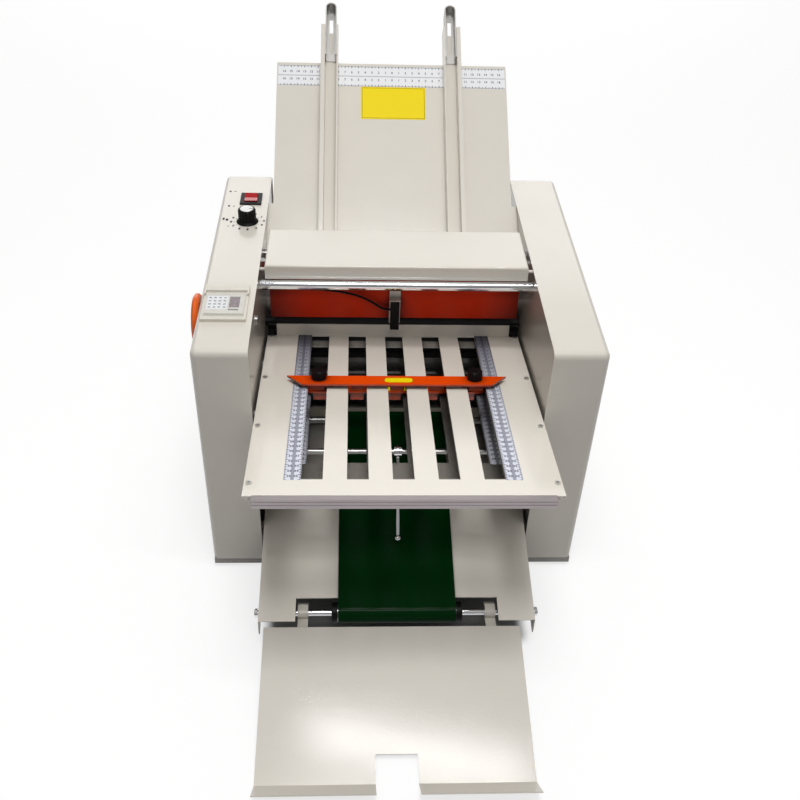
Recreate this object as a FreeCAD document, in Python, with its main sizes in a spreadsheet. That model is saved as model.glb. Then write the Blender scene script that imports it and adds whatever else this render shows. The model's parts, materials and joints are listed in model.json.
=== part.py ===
import FreeCAD, Part
import math
import os
import re

import Sketcher
from FreeCAD import Placement, Rotation, Vector

# Desk paper folding machine, millimetres, +Z up.
# X = 0 is the mid plane, Z = 0 the floor, Y = 0 the middle of the length, the feed tray at +Y.
# Setbacks are measured from the front face of the side housings, drops from their top face.

SIZES = {
    # whole machine
    "front_setback": 135.5,
    "gap_width": 357,
    "housing_width": 65.5,
    "housing_depth": 441,
    "housing_height": 348,
    "housing_wall": 1.5,
    "housing_radius": 8,
    "frame_sheet": 8,
    "frame_clear": 0.3,
    "frame_corner": 4.5,
    "pan_sheet": 2,
    "pan_lip": 8,
    "pan_inset": 0.8,
    "pan_back_height": 185,
    "pan_back_side": 2,
    "foot_height": 15,
    "foot_radius": 16,
    "foot_taper": 2,
    "foot_inset": 36,
    "overrun": 5,
    "fit": 0.05,
    "seat_gap": 0.3,
    # fold rollers and their gears
    "nip_setback": 239,
    "nip_drop": 138,
    "roller_pitch": 30,
    "nip_gap": 0.3,
    "plate_slope": 8.7,
    "stack_zigzag": 12.4,
    "exit_angle": 25,
    "roller_side": 13.5,
    "journal_radius": 6,
    "roller_groove": 1,
    "groove_width": 6,
    "groove_pitch": 66,
    "bush_radius": 9,
    "bush_flange": 2,
    "bush_flange_sheet": 1.2,
    "right_end_past": 3,
    "gear_offset": 2.2,
    "gear_width": 8,
    "gear_teeth": 20,
    "gear_play": 0.5,
    "delivery_teeth": 38,
    # drive
    "belt_offset": 14,
    "belt_width": 12,
    "belt_sheet": 2,
    "pulley_rim": 2,
    "stack_pulley": 18,
    "feed_pulley": 24,
    "hand_pulley": 18,
    "drive_pulley": 10,
    "motor_setback": 120,
    "motor_drop": 321,
    "motor_radius": 25,
    "motor_length": 92,
    "motor_shaft": 4,
    "motor_bore": 20,
    "hand_setback": 120,
    "hand_drop": 38,
    "hand_radius": 33,
    "hand_width": 8.5,
    "hand_gap": 2.5,
    "hand_hub": 12,
    "hand_dish": 3,
    # fold plates
    "plate_play": 7,
    "leaf_sheet": 1.2,
    "leaf_gap": 3.4,
    "plate_flange": 14,
    "plate_taper": 22,
    "mouth_bar_back": 7,
    "mouth_bar_side": 12.5,
    "mouth_bar_height": 17,
    "under_leaf_back": 16,
    "under_leaf_side": 2.5,
    "under_slot_start": 34,
    "spacer_width": 8,
    "slot_share": 0.145,
    "slot_width": 24,
    "slot_start": 10.5,
    "upper_mouth": 11.3,
    "upper_length": 389,
    "upper_slot_margin": 31,
    "lower_mouth": 11.3,
    "lower_length": 285,
    "lower_slot_margin": 34,
    "edge_bar_side": 10,
    "edge_bar_depth": 8,
    "edge_bar_height": 12,
    "edge_bar_rise": 1,
    "edge_groove": 0.5,
    "peg_radius": 4,
    "peg_reach": 7.5,
    "peg_front": 190,
    "peg_rear": 60,
    "table_peg_front": 140,
    "table_peg_rear": 262,
    # stops
    "stop_side": 34,
    "stop_point": 20,
    "stop_width": 22,
    "stop_sheet": 2.5,
    "stop_rise": 5.5,
    "shoulder_width": 36,
    "shoulder_inset": 6,
    "glide_gap": 0.5,
    "finger_width": 18,
    "finger_past": 1,
    "upper_stop_at": 138.6,
    "lower_stop_at": 74.2,
    "lower_stop_width": 16,
    "finger_back": 1.5,
    "finger_depth": 10.5,
    "knob_in": 6,
    "stud_radius": 3,
    "stud_depth": 8,
    "knob_shift": 1.7,
    "knob_radius": 9.5,
    "knob_height": 12,
    "knob_flute": 1.4,
    "knob_flutes": 16,
    "knob_sink": 1.5,
    # screws
    "screw_head": 3.2,
    "screw_head_height": 1.8,
    "screw_shank": 1.5,
    "plate_screw_inset": 5.5,
    "plate_screw_first": 13,
    "plate_screw_pitch": 117.5,
    "frame_screw_depth": 9,
    "frame_screw_low": 50,
    "frame_screw_high": 300,
    # covers and cross members
    "tube_setback": 171,
    "tube_drop": 18,
    "tube_radius": 6,
    "tube_wall": 1,
    "tie_radius": 6,
    "tie_inset": 30,
    "tray_tie_at": 70,
    "cover_front": 177.5,
    "cover_rear": 271,
    "cover_side": 8.5,
    "cover_rise": 6.4,
    "cover_sheet": 1.5,
    "cover_front_drop": 13.5,
    "cover_radius": 2.5,
    "cover_pivot_back": 9,
    "cover_pivot_drop": 4,
    "cover_pin": 2,
    "cover_pin_length": 12,
    "screen_side": 10,
    "screen_before_tray": 69,
    "screen_bottom": 97.5,
    "screen_bend": 60,
    "screen_lean": 5,
    "screen_top": 25,
    "screen_lip": 20,
    "screen_hem": 6,
    "screen_sheet": 1.2,
    "screen_tab": 14,
    "latch_front": 4.5,
    "latch_height": 16,
    "latch_depth": 5,
    "latch_width": 12,
    "latch_knob": 4.5,
    "latch_knob_reach": 4,
    # sensor
    "sensor_half": 6,
    "sensor_depth": 9.5,
    "sensor_top": 64,
    "sensor_bottom": 110,
    "bracket_half": 7.5,
    "bracket_sheet": 1.5,
    "bracket_top": 53,
    "lead_radius": 1.5,
    "lead_before_screen": 6,
    "lead_end_drop": 48,
    "lead_rise_side": 18,
    "lead_wall_gap": 2,
    "lead_sag": 1,
    "lead_1_out": 16,
    "lead_1_fore": 0,
    "lead_1_drop": 80,
    "lead_2_out": 29,
    "lead_2_fore": 1,
    "lead_2_drop": 68.5,
    "lead_3_out": 48,
    "lead_3_fore": 2,
    "lead_3_drop": 57,
    "lead_4_out": 74,
    "lead_4_fore": 3,
    "lead_4_drop": 49.5,
    "lead_5_side": 72.5,
    "lead_5_fore": 4,
    "lead_5_drop": 45.5,
    "lead_6_side": 39.5,
    "lead_6_fore": 4,
    "lead_6_drop": 45,
    "lead_7_side": 18.5,
    "lead_7_fore": 1,
    "lead_7_drop": 47.2,
    "lead_board_drop": 7,
    # sheet guides
    "guide_sheet": 1.2,
    "guide_top_setback": 281,
    "guide_top_drop": 66.5,
    "guide_knee_setback": 268,
    "guide_knee_drop": 100,
    "guide_low_setback": 262,
    "guide_low_drop": 128,
    "guide_end_setback": 256,
    "guide_end_drop": 139,
    "deflector_play": 3,
    "deflector_half_angle": 55,
    # feed tray and guides
    "tray_setback": 283,
    "tray_drop": 63,
    "tray_slope": 35,
    "tray_length": 331.4,
    "tray_play": 15,
    "tray_sheet": 1.5,
    "tray_flange": 12,
    "tray_ear_from": 20,
    "tray_ear_length": 80,
    "feed_at": 12,
    "feed_radius": 20,
    "feed_half": 50,
    "feed_play": 0.4,
    "pad_half": 30,
    "pad_sheet": 2.5,
    "pad_length": 14,
    "left_arm_x": 91,
    "right_arm_x": 87,
    "arm_start": 22,
    "arm_end": 381,
    "arm_channel": 17,
    "arm_wall": 2.5,
    "arm_height": 25,
    "arm_strip": 3.5,
    "arm_glide": 0.1,
    "arm_hook": 14,
    "arm_hook_sheet": 2,
    "insert_width": 16.6,
    "insert_sheet": 1.6,
    "insert_start": 331.5,
    "insert_length": 88.5,
    "insert_drop": 2,
    "insert_slot_width": 5.5,
    "insert_slot_start": 12,
    "insert_slot_length": 60,
    # delivery
    "delivery_slope": 12.5,
    "delivery_side": 5.5,
    "delivery_sheet": 1.5,
    "delivery_flange": 24,
    "delivery_front": 133,
    "delivery_rear": 165,
    "delivery_under_belt": 0.5,
    "front_roller_setback": 114,
    "cutout_side": 46,
    "cutout_setback": 102,
    "belt_roller_radius": 12,
    "web_half": 74,
    "web_sheet": 1.5,
    "drum_past": 2,
    "front_shaft": 4,
    "shaft_past": 6,
    "shaft_nut": 6,
    "shaft_nut_width": 3,
    "shaft_slack": 2,
    "mesh_angle": 228.2,
    "chute_lip_setback": 199,
    "chute_lip_drop": 244.5,
    "chute_low_setback": 222,
    "chute_low_drop": 243.5,
    "chute_knee_setback": 240,
    "chute_knee_drop": 236,
    "chute_end_setback": 256,
    "chute_end_drop": 220,
    "chute_foot_drop": 262,
    "chute_foot_setback": 215,
    # hold down
    "cross_setback": 54,
    "cross_drop": 201,
    "cross_radius": 4,
    "hold_hub": 8,
    "hold_hub_half": 5,
    "hold_x": 3,
    "hold_rod": 2.5,
    "hold_ball": 4.7,
    "hold_at": 97,
    # receiving tray
    "rest_side": 13,
    "rest_shift": 6,
    "rest_sheet": 1.2,
    "rest_top_front": 136,
    "rest_top_drop": 322.9,
    "rest_bend_front": 323.7,
    "rest_lip_front": 351.2,
    "rest_lip_rise": 27.5,
    "notch_half": 24.5,
    "notch_from": 291,
    "notch_shift": 4.5,
    "hook_inset": 9,
    "hook_width": 13,
    "hook_sheet": 2.5,
    "hook_tongue": 16,
    "hook_tail": 14,
    "hook_tail_dip": 5,
    # control panel
    "switch_out": 23.2,
    "switch_before_rear": 76.5,
    "switch_width": 30,
    "switch_length": 32,
    "switch_rim": 3,
    "switch_rise": 2.5,
    "switch_depth": 18,
    "switch_well": 9,
    "switch_wall": 2.5,
    "rocker_clear": 0.5,
    "rocker_pivot": 0.5,
    "rocker_swing": 0.8,
    "rocker_rise": 4.5,
    "rocker_dip": 3,
    "rocker_tilt": 7,
    "rocker_low": 4,
    "dial_out": 23.5,
    "dial_before_switch": 62.5,
    "dial_skirt": 15,
    "dial_skirt_height": 3,
    "dial_cap": 12,
    "dial_height": 19,
    "dial_shaft": 3,
    "dial_gap": 0.5,
    "dial_stem": 8,
    "board_sheet": 1.6,
    "board_drop": 11,
    "board_before_dial": 12.5,
    "board_length": 54,
    "board_out": 32.5,
    "board_half": 22,
    "board_post": 2.5,
    "board_post_inset": 4,
    "plug_width": 8,
    "plug_height": 6,
    "pot_half": 9,
    "pot_height": 7,
    "counter_out": 32.5,
    "counter_setback": 95.75,
    "counter_width": 54,
    "counter_length": 71,
    "counter_rise": 4,
    "counter_sink": 10,
    "counter_lip": 3,
    "lens_half": 24.5,
    "lens_back": 53,
    "lens_length": 47,
    "lens_rise": 2.3,
    "lens_sheet": 1.6,
    "lens_lip": 2,
    "lens_pin": 1,
    "lens_pin_past": 2,
    "lens_ear": 2,
    "lens_ear_half": 3,
    "counter_face": 1.8,
    "counter_face_half": 23,
    "inlet_out": 32.5,
    "inlet_width": 48,
    "inlet_height": 28,
    "inlet_depth": 24,
    "inlet_flange": 3,
    "inlet_z": 62,
}

# Sizes that follow others, so that a changed size carries the pieces that keep with it
FITTED = {
    "roller_half": "gap_width / 2 - roller_side",
    "plate_width": "gap_width - plate_play",
    "mouth_bar_half": "plate_width / 2 - mouth_bar_side",
    "slot_pitch": "plate_width * slot_share",
    "upper_slot_end": "upper_length - upper_slot_margin",
    "lower_slot_end": "lower_length - lower_slot_margin",
    "edge_bar_half": "plate_width / 2 - edge_bar_side",
    "stop_rear_half": "plate_width / 2 - stop_side",
    "stop_front_half": "plate_width / 2 - stop_side - stop_point",
    "knob_out": "2 * plate_width * slot_share - knob_shift",
    "cover_half": "gap_width / 2 - cover_side",
    "screen_half": "gap_width / 2 - screen_side",
    "screen_setback": "tray_setback - screen_before_tray",
    "lead_setback": "tray_setback - screen_before_tray - lead_before_screen",
    "lead_rise_out": "gap_width / 2 + lead_rise_side",
    "lead_5_out": "gap_width / 2 - lead_5_side",
    "lead_6_out": "gap_width / 2 - lead_6_side",
    "lead_7_out": "gap_width / 2 - lead_7_side",
    "tray_width": "gap_width - tray_play",
    "delivery_half": "gap_width / 2 - delivery_side",
    "cutout_half": "gap_width / 2 - delivery_side - cutout_side",
    "shaft_end": "gap_width / 2 - delivery_side + shaft_past",
    "rest_half": "gap_width / 2 - delivery_side - rest_side",
    "hook_centre": "gap_width / 2 - delivery_side - cutout_side - hook_inset",
    "switch_x": "gap_width / 2 + switch_out",
    "switch_setback": "housing_depth - switch_before_rear",
    "dial_x": "gap_width / 2 + dial_out",
    "dial_setback": "housing_depth - switch_before_rear - dial_before_switch",
    "board_from": "housing_depth - switch_before_rear - dial_before_switch - board_before_dial",
    "board_x": "gap_width / 2 + board_out",
    "counter_x": "gap_width / 2 + counter_out",
    "inlet_x": "gap_width / 2 + inlet_out",
}

doc = FreeCAD.newDocument("paper_folding_machine")
sheet = doc.addObject("Spreadsheet::Sheet", "sizes")
for row, (alias, value) in enumerate(SIZES.items(), start=1):
    sheet.set(f"A{row}", alias)
    sheet.set(f"B{row}", str(value))
    sheet.setAlias(f"B{row}", alias)
doc.recompute()
for row, (alias, formula) in enumerate(FITTED.items(), start=len(SIZES) + 1):
    sheet.set(f"A{row}", alias)
    sheet.set(f"B{row}", f"={formula}")
    sheet.setAlias(f"B{row}", alias)
doc.recompute()

WORD = re.compile(r"[a-z][a-z0-9_]*")
NAMES = {*SIZES, *FITTED}
PIECES = []


def bound(text):
    """The expression with each size written as a cell of the sheet."""
    return WORD.sub(lambda m: "sizes." + m.group(0) if m.group(0) in NAMES else m.group(0), text)


probe = doc.addObject("Part::Box", "probe")


def num(text):
    """The present value of an expression in sizes."""
    value = probe.evalExpression(bound(str(text)))
    return float(getattr(value, "Value", value))


def total(*terms):
    return " + ".join(f"({term})" for term in terms)


def less(first, second):
    return f"({first}) - ({second})"


# Reference places, each an expression in sizes
TOP = "foot_height + pan_sheet + housing_height"
FLOOR_TOP = "foot_height + pan_sheet"
HALF_GAP = "gap_width / 2"
HALF_OUTER = "gap_width / 2 + housing_width"


def at_y(setback):
    return less(setback, "front_setback")


def at_z(drop):
    return less(TOP, drop)


def along(start, distance, angle):
    """The place at a distance from start, (y, z), in a direction measured from +Y towards +Z."""
    return (
        total(start[0], f"({distance}) * cos({angle})"),
        total(start[1], f"({distance}) * sin({angle})"),
    )


NIP_1 = (at_y("nip_setback"), at_z("nip_drop"))
ROLLER_1 = along(NIP_1, "roller_pitch / 2", "90 - plate_slope")
ROLLER_2 = along(NIP_1, "roller_pitch / 2", "270 - plate_slope")
ROLLER_3 = along(ROLLER_2, "roller_pitch", "270 + stack_zigzag")
ROLLER_4 = along(ROLLER_3, "roller_pitch", "270 - plate_slope")
ROLLER_5 = along(ROLLER_4, "roller_pitch", "180 + exit_angle")
NIP_3 = along(ROLLER_3, "roller_pitch / 2", "270 - plate_slope")
ROLLERS = [ROLLER_1, ROLLER_2, ROLLER_3, ROLLER_4, ROLLER_5]


def plate_origin(nip, mouth):
    front = along(nip, mouth, "180 - plate_slope")
    return along(front, "leaf_gap / 2 + leaf_sheet", "90 - plate_slope")


UPPER = plate_origin(NIP_1, "upper_mouth")
LOWER = plate_origin(NIP_3, "lower_mouth")
TRAY = (at_y("tray_setback"), at_z("tray_drop"))
FEED = along(along(TRAY, "feed_at", "tray_slope"), "pad_sheet + feed_play + feed_radius", "90 + tray_slope")
HAND = (at_y("hand_setback"), at_z("hand_drop"))
MOTOR = (at_y("motor_setback"), at_z("motor_drop"))
TUBE = (at_y("tube_setback"), at_z("tube_drop"))
CROSS = (at_y("cross_setback"), at_z("cross_drop"))
COVER_PIVOT = (at_y("cover_front + cover_pivot_back"), at_z("cover_pivot_drop"))

# The rear belt roller meshes with the last fold roller, and the belt runs down from it to the front
MESH = "roller_pitch / 2 * (1 + delivery_teeth / gear_teeth)"
BELT_REAR = along(ROLLER_5, MESH, "mesh_angle")
BELT_SPAN = f"({less(BELT_REAR[0], at_y('-front_roller_setback'))}) / cos(delivery_slope)"
BELT_FRONT = along(BELT_REAR, BELT_SPAN, "180 + delivery_slope")
TABLE = along(BELT_FRONT, "belt_roller_radius - delivery_under_belt", "90 + delivery_slope")
HOLD_TIP = along(along(BELT_FRONT, "hold_at", "delivery_slope"),
                 "belt_roller_radius + web_sheet + seat_gap + hold_ball", "90 + delivery_slope")


# Building helpers


def place(item, x, y, z, angle=None, sign=1):
    """Bind an item's place, and its turn about X, to the sheet."""
    if angle is not None:
        item.Placement = Placement(Vector(0, 0, 0), Rotation(Vector(sign, 0, 0), num(angle)))
        item.setExpression("Placement.Rotation.Angle", bound(str(angle)))
    for axis, value in zip("xyz", (x, y, z)):
        item.setExpression(f"Placement.Base.{axis}", bound(str(value)))


def gather(label, items):
    """Several separate solids kept as one sub-part."""
    for piece in items:
        if piece in PIECES:
            PIECES.remove(piece)
    group = doc.addObject("Part::Compound", label)
    group.Label = label
    group.Links = items
    PIECES.append(group)


def new_body(label):
    item = doc.addObject("PartDesign::Body", label)
    item.Label = label
    PIECES.append(item)
    return item


def new_sketch(body, plane, offset="0"):
    item = body.newObject("Sketcher::SketchObject", f"{body.Name}_outline")
    support = [o for o in body.Origin.OriginFeatures if o.Role == plane][0]
    item.AttachmentSupport = (support, [""])
    item.MapMode = "FlatFace"
    item.setExpression("AttachmentOffset.Base.z", bound(str(offset)))
    return item


def add_polygon(sketch, points):
    """A closed outline whose corners are held at their expressions."""
    values = [(num(x), num(y)) for x, y in points]
    first = sketch.GeometryCount
    count = len(points)
    for i in range(count):
        start = Vector(*values[i], 0)
        end = Vector(*values[(i + 1) % count], 0)
        sketch.addGeometry(Part.LineSegment(start, end), False)
    for i in range(count):
        line = first + i
        sketch.addConstraint(Sketcher.Constraint("Coincident", line, 2, first + (i + 1) % count, 1))
        (x, y), (across, up) = points[i], values[i]
        for kind, text, value in (("DistanceX", x, across), ("DistanceY", y, up)):
            index = sketch.addConstraint(Sketcher.Constraint(kind, -1, 1, line, 1, value))
            sketch.setExpression(f"Constraints[{index}]", bound(str(text)))


def add_circle(sketch, x, y, radius):
    circle = Part.Circle(Vector(num(x), num(y), 0), Vector(0, 0, 1), num(radius))
    index = sketch.addGeometry(circle, False)
    for kind, text in (("DistanceX", x), ("DistanceY", y)):
        held = sketch.addConstraint(Sketcher.Constraint(kind, -1, 1, index, 3, num(text)))
        sketch.setExpression(f"Constraints[{held}]", bound(str(text)))
    held = sketch.addConstraint(Sketcher.Constraint("Radius", index, num(radius)))
    sketch.setExpression(f"Constraints[{held}]", bound(str(radius)))


def rect(x0, y0, x1, y1):
    return [(x0, y0), (x1, y0), (x1, y1), (x0, y1)]


def extrude(body, kind, plane, length, offset="0", polygons=(), circles=(), back=False, both=False):
    """One Pad or Pocket from a sketch on an origin plane."""
    sketch = new_sketch(body, plane, offset)
    for points in polygons:
        add_polygon(sketch, points)
    for circle in circles:
        add_circle(sketch, *circle)
    item = body.newObject(f"PartDesign::{kind}", f"{body.Name}_{kind.lower()}")
    item.Profile = sketch
    item.setExpression("Length", bound(str(length)))
    item.Reversed = back
    if both:
        item.SideType = "Symmetric"
    sketch.Visibility = False
    return item


def turned(label, points, x, place_yz):
    """A turned piece: its half outline (x, radius) spun about its own X axis."""
    body = new_body(label)
    sketch = new_sketch(body, "XY_Plane")
    add_polygon(sketch, points)
    item = body.newObject("PartDesign::Revolution", f"{label}_turn")
    item.Profile = sketch
    item.ReferenceAxis = (sketch, ["H_Axis"])
    item.Angle = 360
    place(body, x, place_yz[0], place_yz[1])
    return body


def steps(*pairs):
    """Half outline of a shaft from (x, radius) steps: each pair gives where a radius starts."""
    points = [(pairs[0][0], "0")]
    for (x0, radius), (x1, _) in zip(pairs[:-1], pairs[1:]):
        points += [(x0, radius), (x1, radius)]
    points.append((pairs[-1][0], "0"))
    return points


def coded(label, shape):
    """A piece whose shape is worked out in code from the sheet's values."""
    item = doc.addObject("Part::Feature", label)
    item.Label = label
    item.Shape = shape
    PIECES.append(item)
    return item


def solid_box(x0, y0, z0, x1, y1, z1):
    low = Vector(min(x0, x1), min(y0, y1), min(z0, z1))
    return Part.makeBox(abs(x1 - x0), abs(y1 - y0), abs(z1 - z0), low)


def x_cylinder(radius, x0, x1, y, z):
    return Part.makeCylinder(radius, abs(x1 - x0), Vector(min(x0, x1), y, z), Vector(1, 0, 0))


def values(pair):
    return num(pair[0]), num(pair[1])


def offset_line(points, distance):
    """The points moved sideways by a distance, mitred at each corner."""
    out = []
    for i, (y, z) in enumerate(points):
        normals = []
        for a, b in ((i - 1, i), (i, i + 1)):
            if a < 0 or b >= len(points):
                continue
            dy, dz = points[b][0] - points[a][0], points[b][1] - points[a][1]
            size = math.hypot(dy, dz)
            normals.append((-dz / size, dy / size))
        ny, nz = sum(n[0] for n in normals), sum(n[1] for n in normals)
        size = math.hypot(ny, nz)
        ny, nz = ny / size, nz / size
        reach = distance / (ny * normals[0][0] + nz * normals[0][1])
        out.append((y + ny * reach, z + nz * reach))
    return out


def bent_sheet(points, thickness, x0, x1):
    """A sheet that follows (y, z) points, with its thickness to the left of their direction."""
    outline = points + offset_line(points, thickness)[::-1]
    wire = Part.makePolygon([Vector(x0, y, z) for y, z in outline + outline[:1]])
    return Part.Face(wire).extrude(Vector(x1 - x0, 0, 0))


def belt_loop(circles, grow, x0, x1):
    """A solid bounded by the tight loop round circles (y, z, radius), listed counter-clockwise."""
    edges = []
    count = len(circles)
    tangents = []
    for i in range(count):
        (y0, z0, r0), (y1, z1, r1) = circles[i], circles[(i + 1) % count]
        span = math.hypot(y1 - y0, z1 - z0)
        heading = math.atan2(z1 - z0, y1 - y0)
        side = heading - math.acos((r0 - r1) / span)
        tangents.append(side)
    for i in range(count):
        y, z, r = circles[i]
        r = r + grow
        a0, a1 = tangents[i - 1], tangents[i]
        while a1 < a0:
            a1 += 2 * math.pi
        middle = (a0 + a1) / 2
        spots = [Vector(x0, y + r * math.cos(a), z + r * math.sin(a)) for a in (a0, middle, a1)]
        edges.append(Part.Arc(*spots).toShape())
        yn, zn, rn = circles[(i + 1) % count]
        rn = rn + grow
        edges.append(Part.makeLine(spots[2], Vector(x0, yn + rn * math.cos(a1), zn + rn * math.sin(a1))))
    face = Part.Face(Part.Wire(edges))
    return face.extrude(Vector(x1 - x0, 0, 0))


def spur_gear(teeth, module, width, bore, play, phase, x0, y, z):
    """A spur gear about X: straight-flanked teeth, thinned by play, first tooth at phase radians."""
    pitch = 2 * math.pi / teeth
    radius = module * teeth / 2
    root, tip = radius - 1.2 * module, radius + module
    half = pitch / 4 - play / radius / 4
    shares = ((root, 1.55), (radius, 1.0), (tip, 0.42))
    outline = []
    for k in range(teeth):
        centre = phase + k * pitch
        for r, share in shares:
            outline.append((r, centre - half * share))
        for r, share in shares[::-1]:
            outline.append((r, centre + half * share))
    spots = [Vector(x0, y + r * math.cos(a), z + r * math.sin(a)) for r, a in outline]
    body = Part.Face(Part.makePolygon(spots + spots[:1])).extrude(Vector(width, 0, 0))
    return body.cut(x_cylinder(bore, x0 - width, x0 + 2 * width, y, z))


def mesh_phase(phase_a, teeth_a, teeth_b, centre_a, centre_b):
    """The phase that puts gear b's gaps where gear a's teeth are."""
    heading = math.atan2(centre_b[1] - centre_a[1], centre_b[0] - centre_a[0])
    share = ((heading - phase_a) * teeth_a / (2 * math.pi)) % 1.0
    return heading + math.pi - (0.5 - share) * 2 * math.pi / teeth_b


def plate_at(origin, distance, rise):
    """A place on a fold plate: distance from its rear edge, rise above its top face."""
    return along(along(origin, distance, "180 - plate_slope"), rise, "90 - plate_slope")


def table_at(distance, rise):
    """A place on the delivery table: distance behind the front roller, rise above the sheet."""
    return along(along(TABLE, distance, "delivery_slope"), rise, "90 + delivery_slope")


def tray_at(distance, rise):
    """A place on the feed tray: distance up the slope from its lower edge, rise above the sheet."""
    return along(along(TRAY, distance, "tray_slope"), rise, "90 + tray_slope")


def square(x, y, half_x, half_y):
    return rect(f"({x}) - ({half_x})", f"({y}) - ({half_y})", f"({x}) + ({half_x})", f"({y}) + ({half_y})")


# Base, side frames and housings


def make_base():
    pan = new_body("base_pan")
    half = less(HALF_OUTER, "pan_inset")
    front, rear = at_y("pan_inset"), at_y("housing_depth - pan_inset")
    extrude(pan, "Pad", "XY_Plane", "pan_lip + pan_sheet", "foot_height - pan_lip",
            [rect(f"-({half})", front, half, rear)])
    inner = less(half, "pan_sheet")
    extrude(pan, "Pocket", "XY_Plane", "2 * pan_lip", "foot_height - pan_lip",
            [rect(f"-({inner})", total(front, "pan_sheet"), inner, less(rear, "pan_sheet"))], both=True)
    back = less(HALF_GAP, "pan_back_side")
    extrude(pan, "Pad", "XY_Plane", "pan_back_height + pan_sheet", "foot_height",
            [rect(f"-({back})", less(rear, "pan_sheet"), back, rear)])
    feet = []
    x = less(HALF_OUTER, "foot_inset")
    for side in ("-1", "1"):
        for y in (at_y("foot_inset"), at_y("housing_depth - foot_inset")):
            foot = doc.addObject("Part::Cone", "foot")
            foot.setExpression("Radius1", bound("foot_radius - foot_taper"))
            foot.setExpression("Radius2", bound("foot_radius"))
            foot.setExpression("Height", bound("foot_height"))
            place(foot, f"{side} * ({x})", y, "0")
            feet.append(foot)
    gather("rubber_feet", feet)


def peg_spots():
    """Where the frames carry the fold plates and the delivery table, just under their flanges."""
    under = "-(plate_flange + peg_radius + seat_gap)"
    ends = ("peg_front", "peg_rear")
    spots = [plate_at(origin, distance, under) for origin in (UPPER, LOWER) for distance in ends]
    low = "-(delivery_flange + peg_radius + seat_gap)"
    return spots + [table_at(distance, low) for distance in ("table_peg_front", "table_peg_rear")]


def bush_spots():
    return ROLLERS + [FEED, BELT_REAR]


FRAME_REAR = at_y("housing_depth - housing_wall - frame_clear")


def make_frame(side, sign):
    """A side frame: a thick plate bored for bushes, with pegs that the plates rest on."""
    body = new_body(f"{side}_side_frame")
    front = at_y("housing_wall + frame_clear")
    top = at_z("housing_wall + frame_clear")
    start = HALF_GAP if sign > 0 else f"-({HALF_GAP}) - frame_sheet"
    extrude(body, "Pad", "YZ_Plane", "frame_sheet", start, [
        [(front, FLOOR_TOP), (FRAME_REAR, FLOOR_TOP), (FRAME_REAR, less(top, "frame_corner")),
         (less(FRAME_REAR, "frame_corner"), top), (total(front, "frame_corner"), top),
         (front, less(top, "frame_corner"))]])
    holes = [(y, z, "bush_radius") for y, z in bush_spots()]
    holes.append((COVER_PIVOT[0], COVER_PIVOT[1], "cover_pin + fit"))
    if sign < 0:
        holes.append((HAND[0], HAND[1], "bush_radius"))
        holes.append((MOTOR[0], MOTOR[1], "motor_shaft + seat_gap"))
        holes.append((at_y("lead_setback"), at_z("lead_end_drop"), "lead_radius + seat_gap"))
    middle = total(start, "frame_sheet / 2")
    extrude(body, "Pocket", "YZ_Plane", "2 * frame_sheet", middle, circles=holes, both=True)
    extrude(body, "Pocket", "XZ_Plane", "2 * frame_screw_depth", f"-({FRAME_REAR})",
            circles=[(middle, low, "screw_shank + fit") for low in ("frame_screw_low", "frame_screw_high")],
            both=True)
    reach = f"-({HALF_GAP})" if sign < 0 else f"({HALF_GAP}) - peg_reach"
    pegs = [(y, z, "peg_radius") for y, z in peg_spots()]
    extrude(body, "Pad", "YZ_Plane", "peg_reach", reach, circles=pegs)


def hood(half_inner, half_outer, inset, low, radius, sign):
    """A block with its outer side and its long top edges rounded, open sides left square."""
    y0, y1 = num(at_y("0")) + inset, num(at_y("housing_depth")) - inset
    top, outer = num(TOP) - inset, sign * (half_outer - inset)
    block = solid_box(sign * half_inner, y0, low, outer, y1, top)
    small = num("fit")
    edges = []
    for edge in block.Edges:
        box = edge.BoundBox
        outside = abs(box.XMin - outer) < small and abs(box.XMax - outer) < small and box.ZMax > low + small
        across_top = box.XLength > small and abs(box.ZMin - top) < small
        if outside or across_top:
            edges.append(edge)
    return block.makeFillet(radius, edges)


def make_housing(side, sign):
    """A side housing: a pressed hood, open underneath and towards the machine."""
    wall, low = num("housing_wall"), num(FLOOR_TOP)
    inner, outer = num(HALF_GAP) - wall, num(HALF_OUTER)
    radius = num("housing_radius")
    past = num("overrun")
    hollow = hood(inner - past, outer, wall, low - past, radius - wall, sign)
    shell = hood(inner, outer, 0, low, radius, sign).cut(hollow)
    holes = []
    middle = sign * num(total(HALF_GAP, "frame_sheet / 2"))
    rear = num(at_y("housing_depth"))
    for height in ("frame_screw_low", "frame_screw_high"):
        holes.append(Part.makeCylinder(num("screw_shank + fit"), 2 * past, Vector(middle, rear - past, num(height)),
                                       Vector(0, 1, 0)))
    if sign < 0:
        holes += panel_holes()
    coded(f"{side}_housing", shell.cut(Part.makeCompound(holes)))


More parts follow.
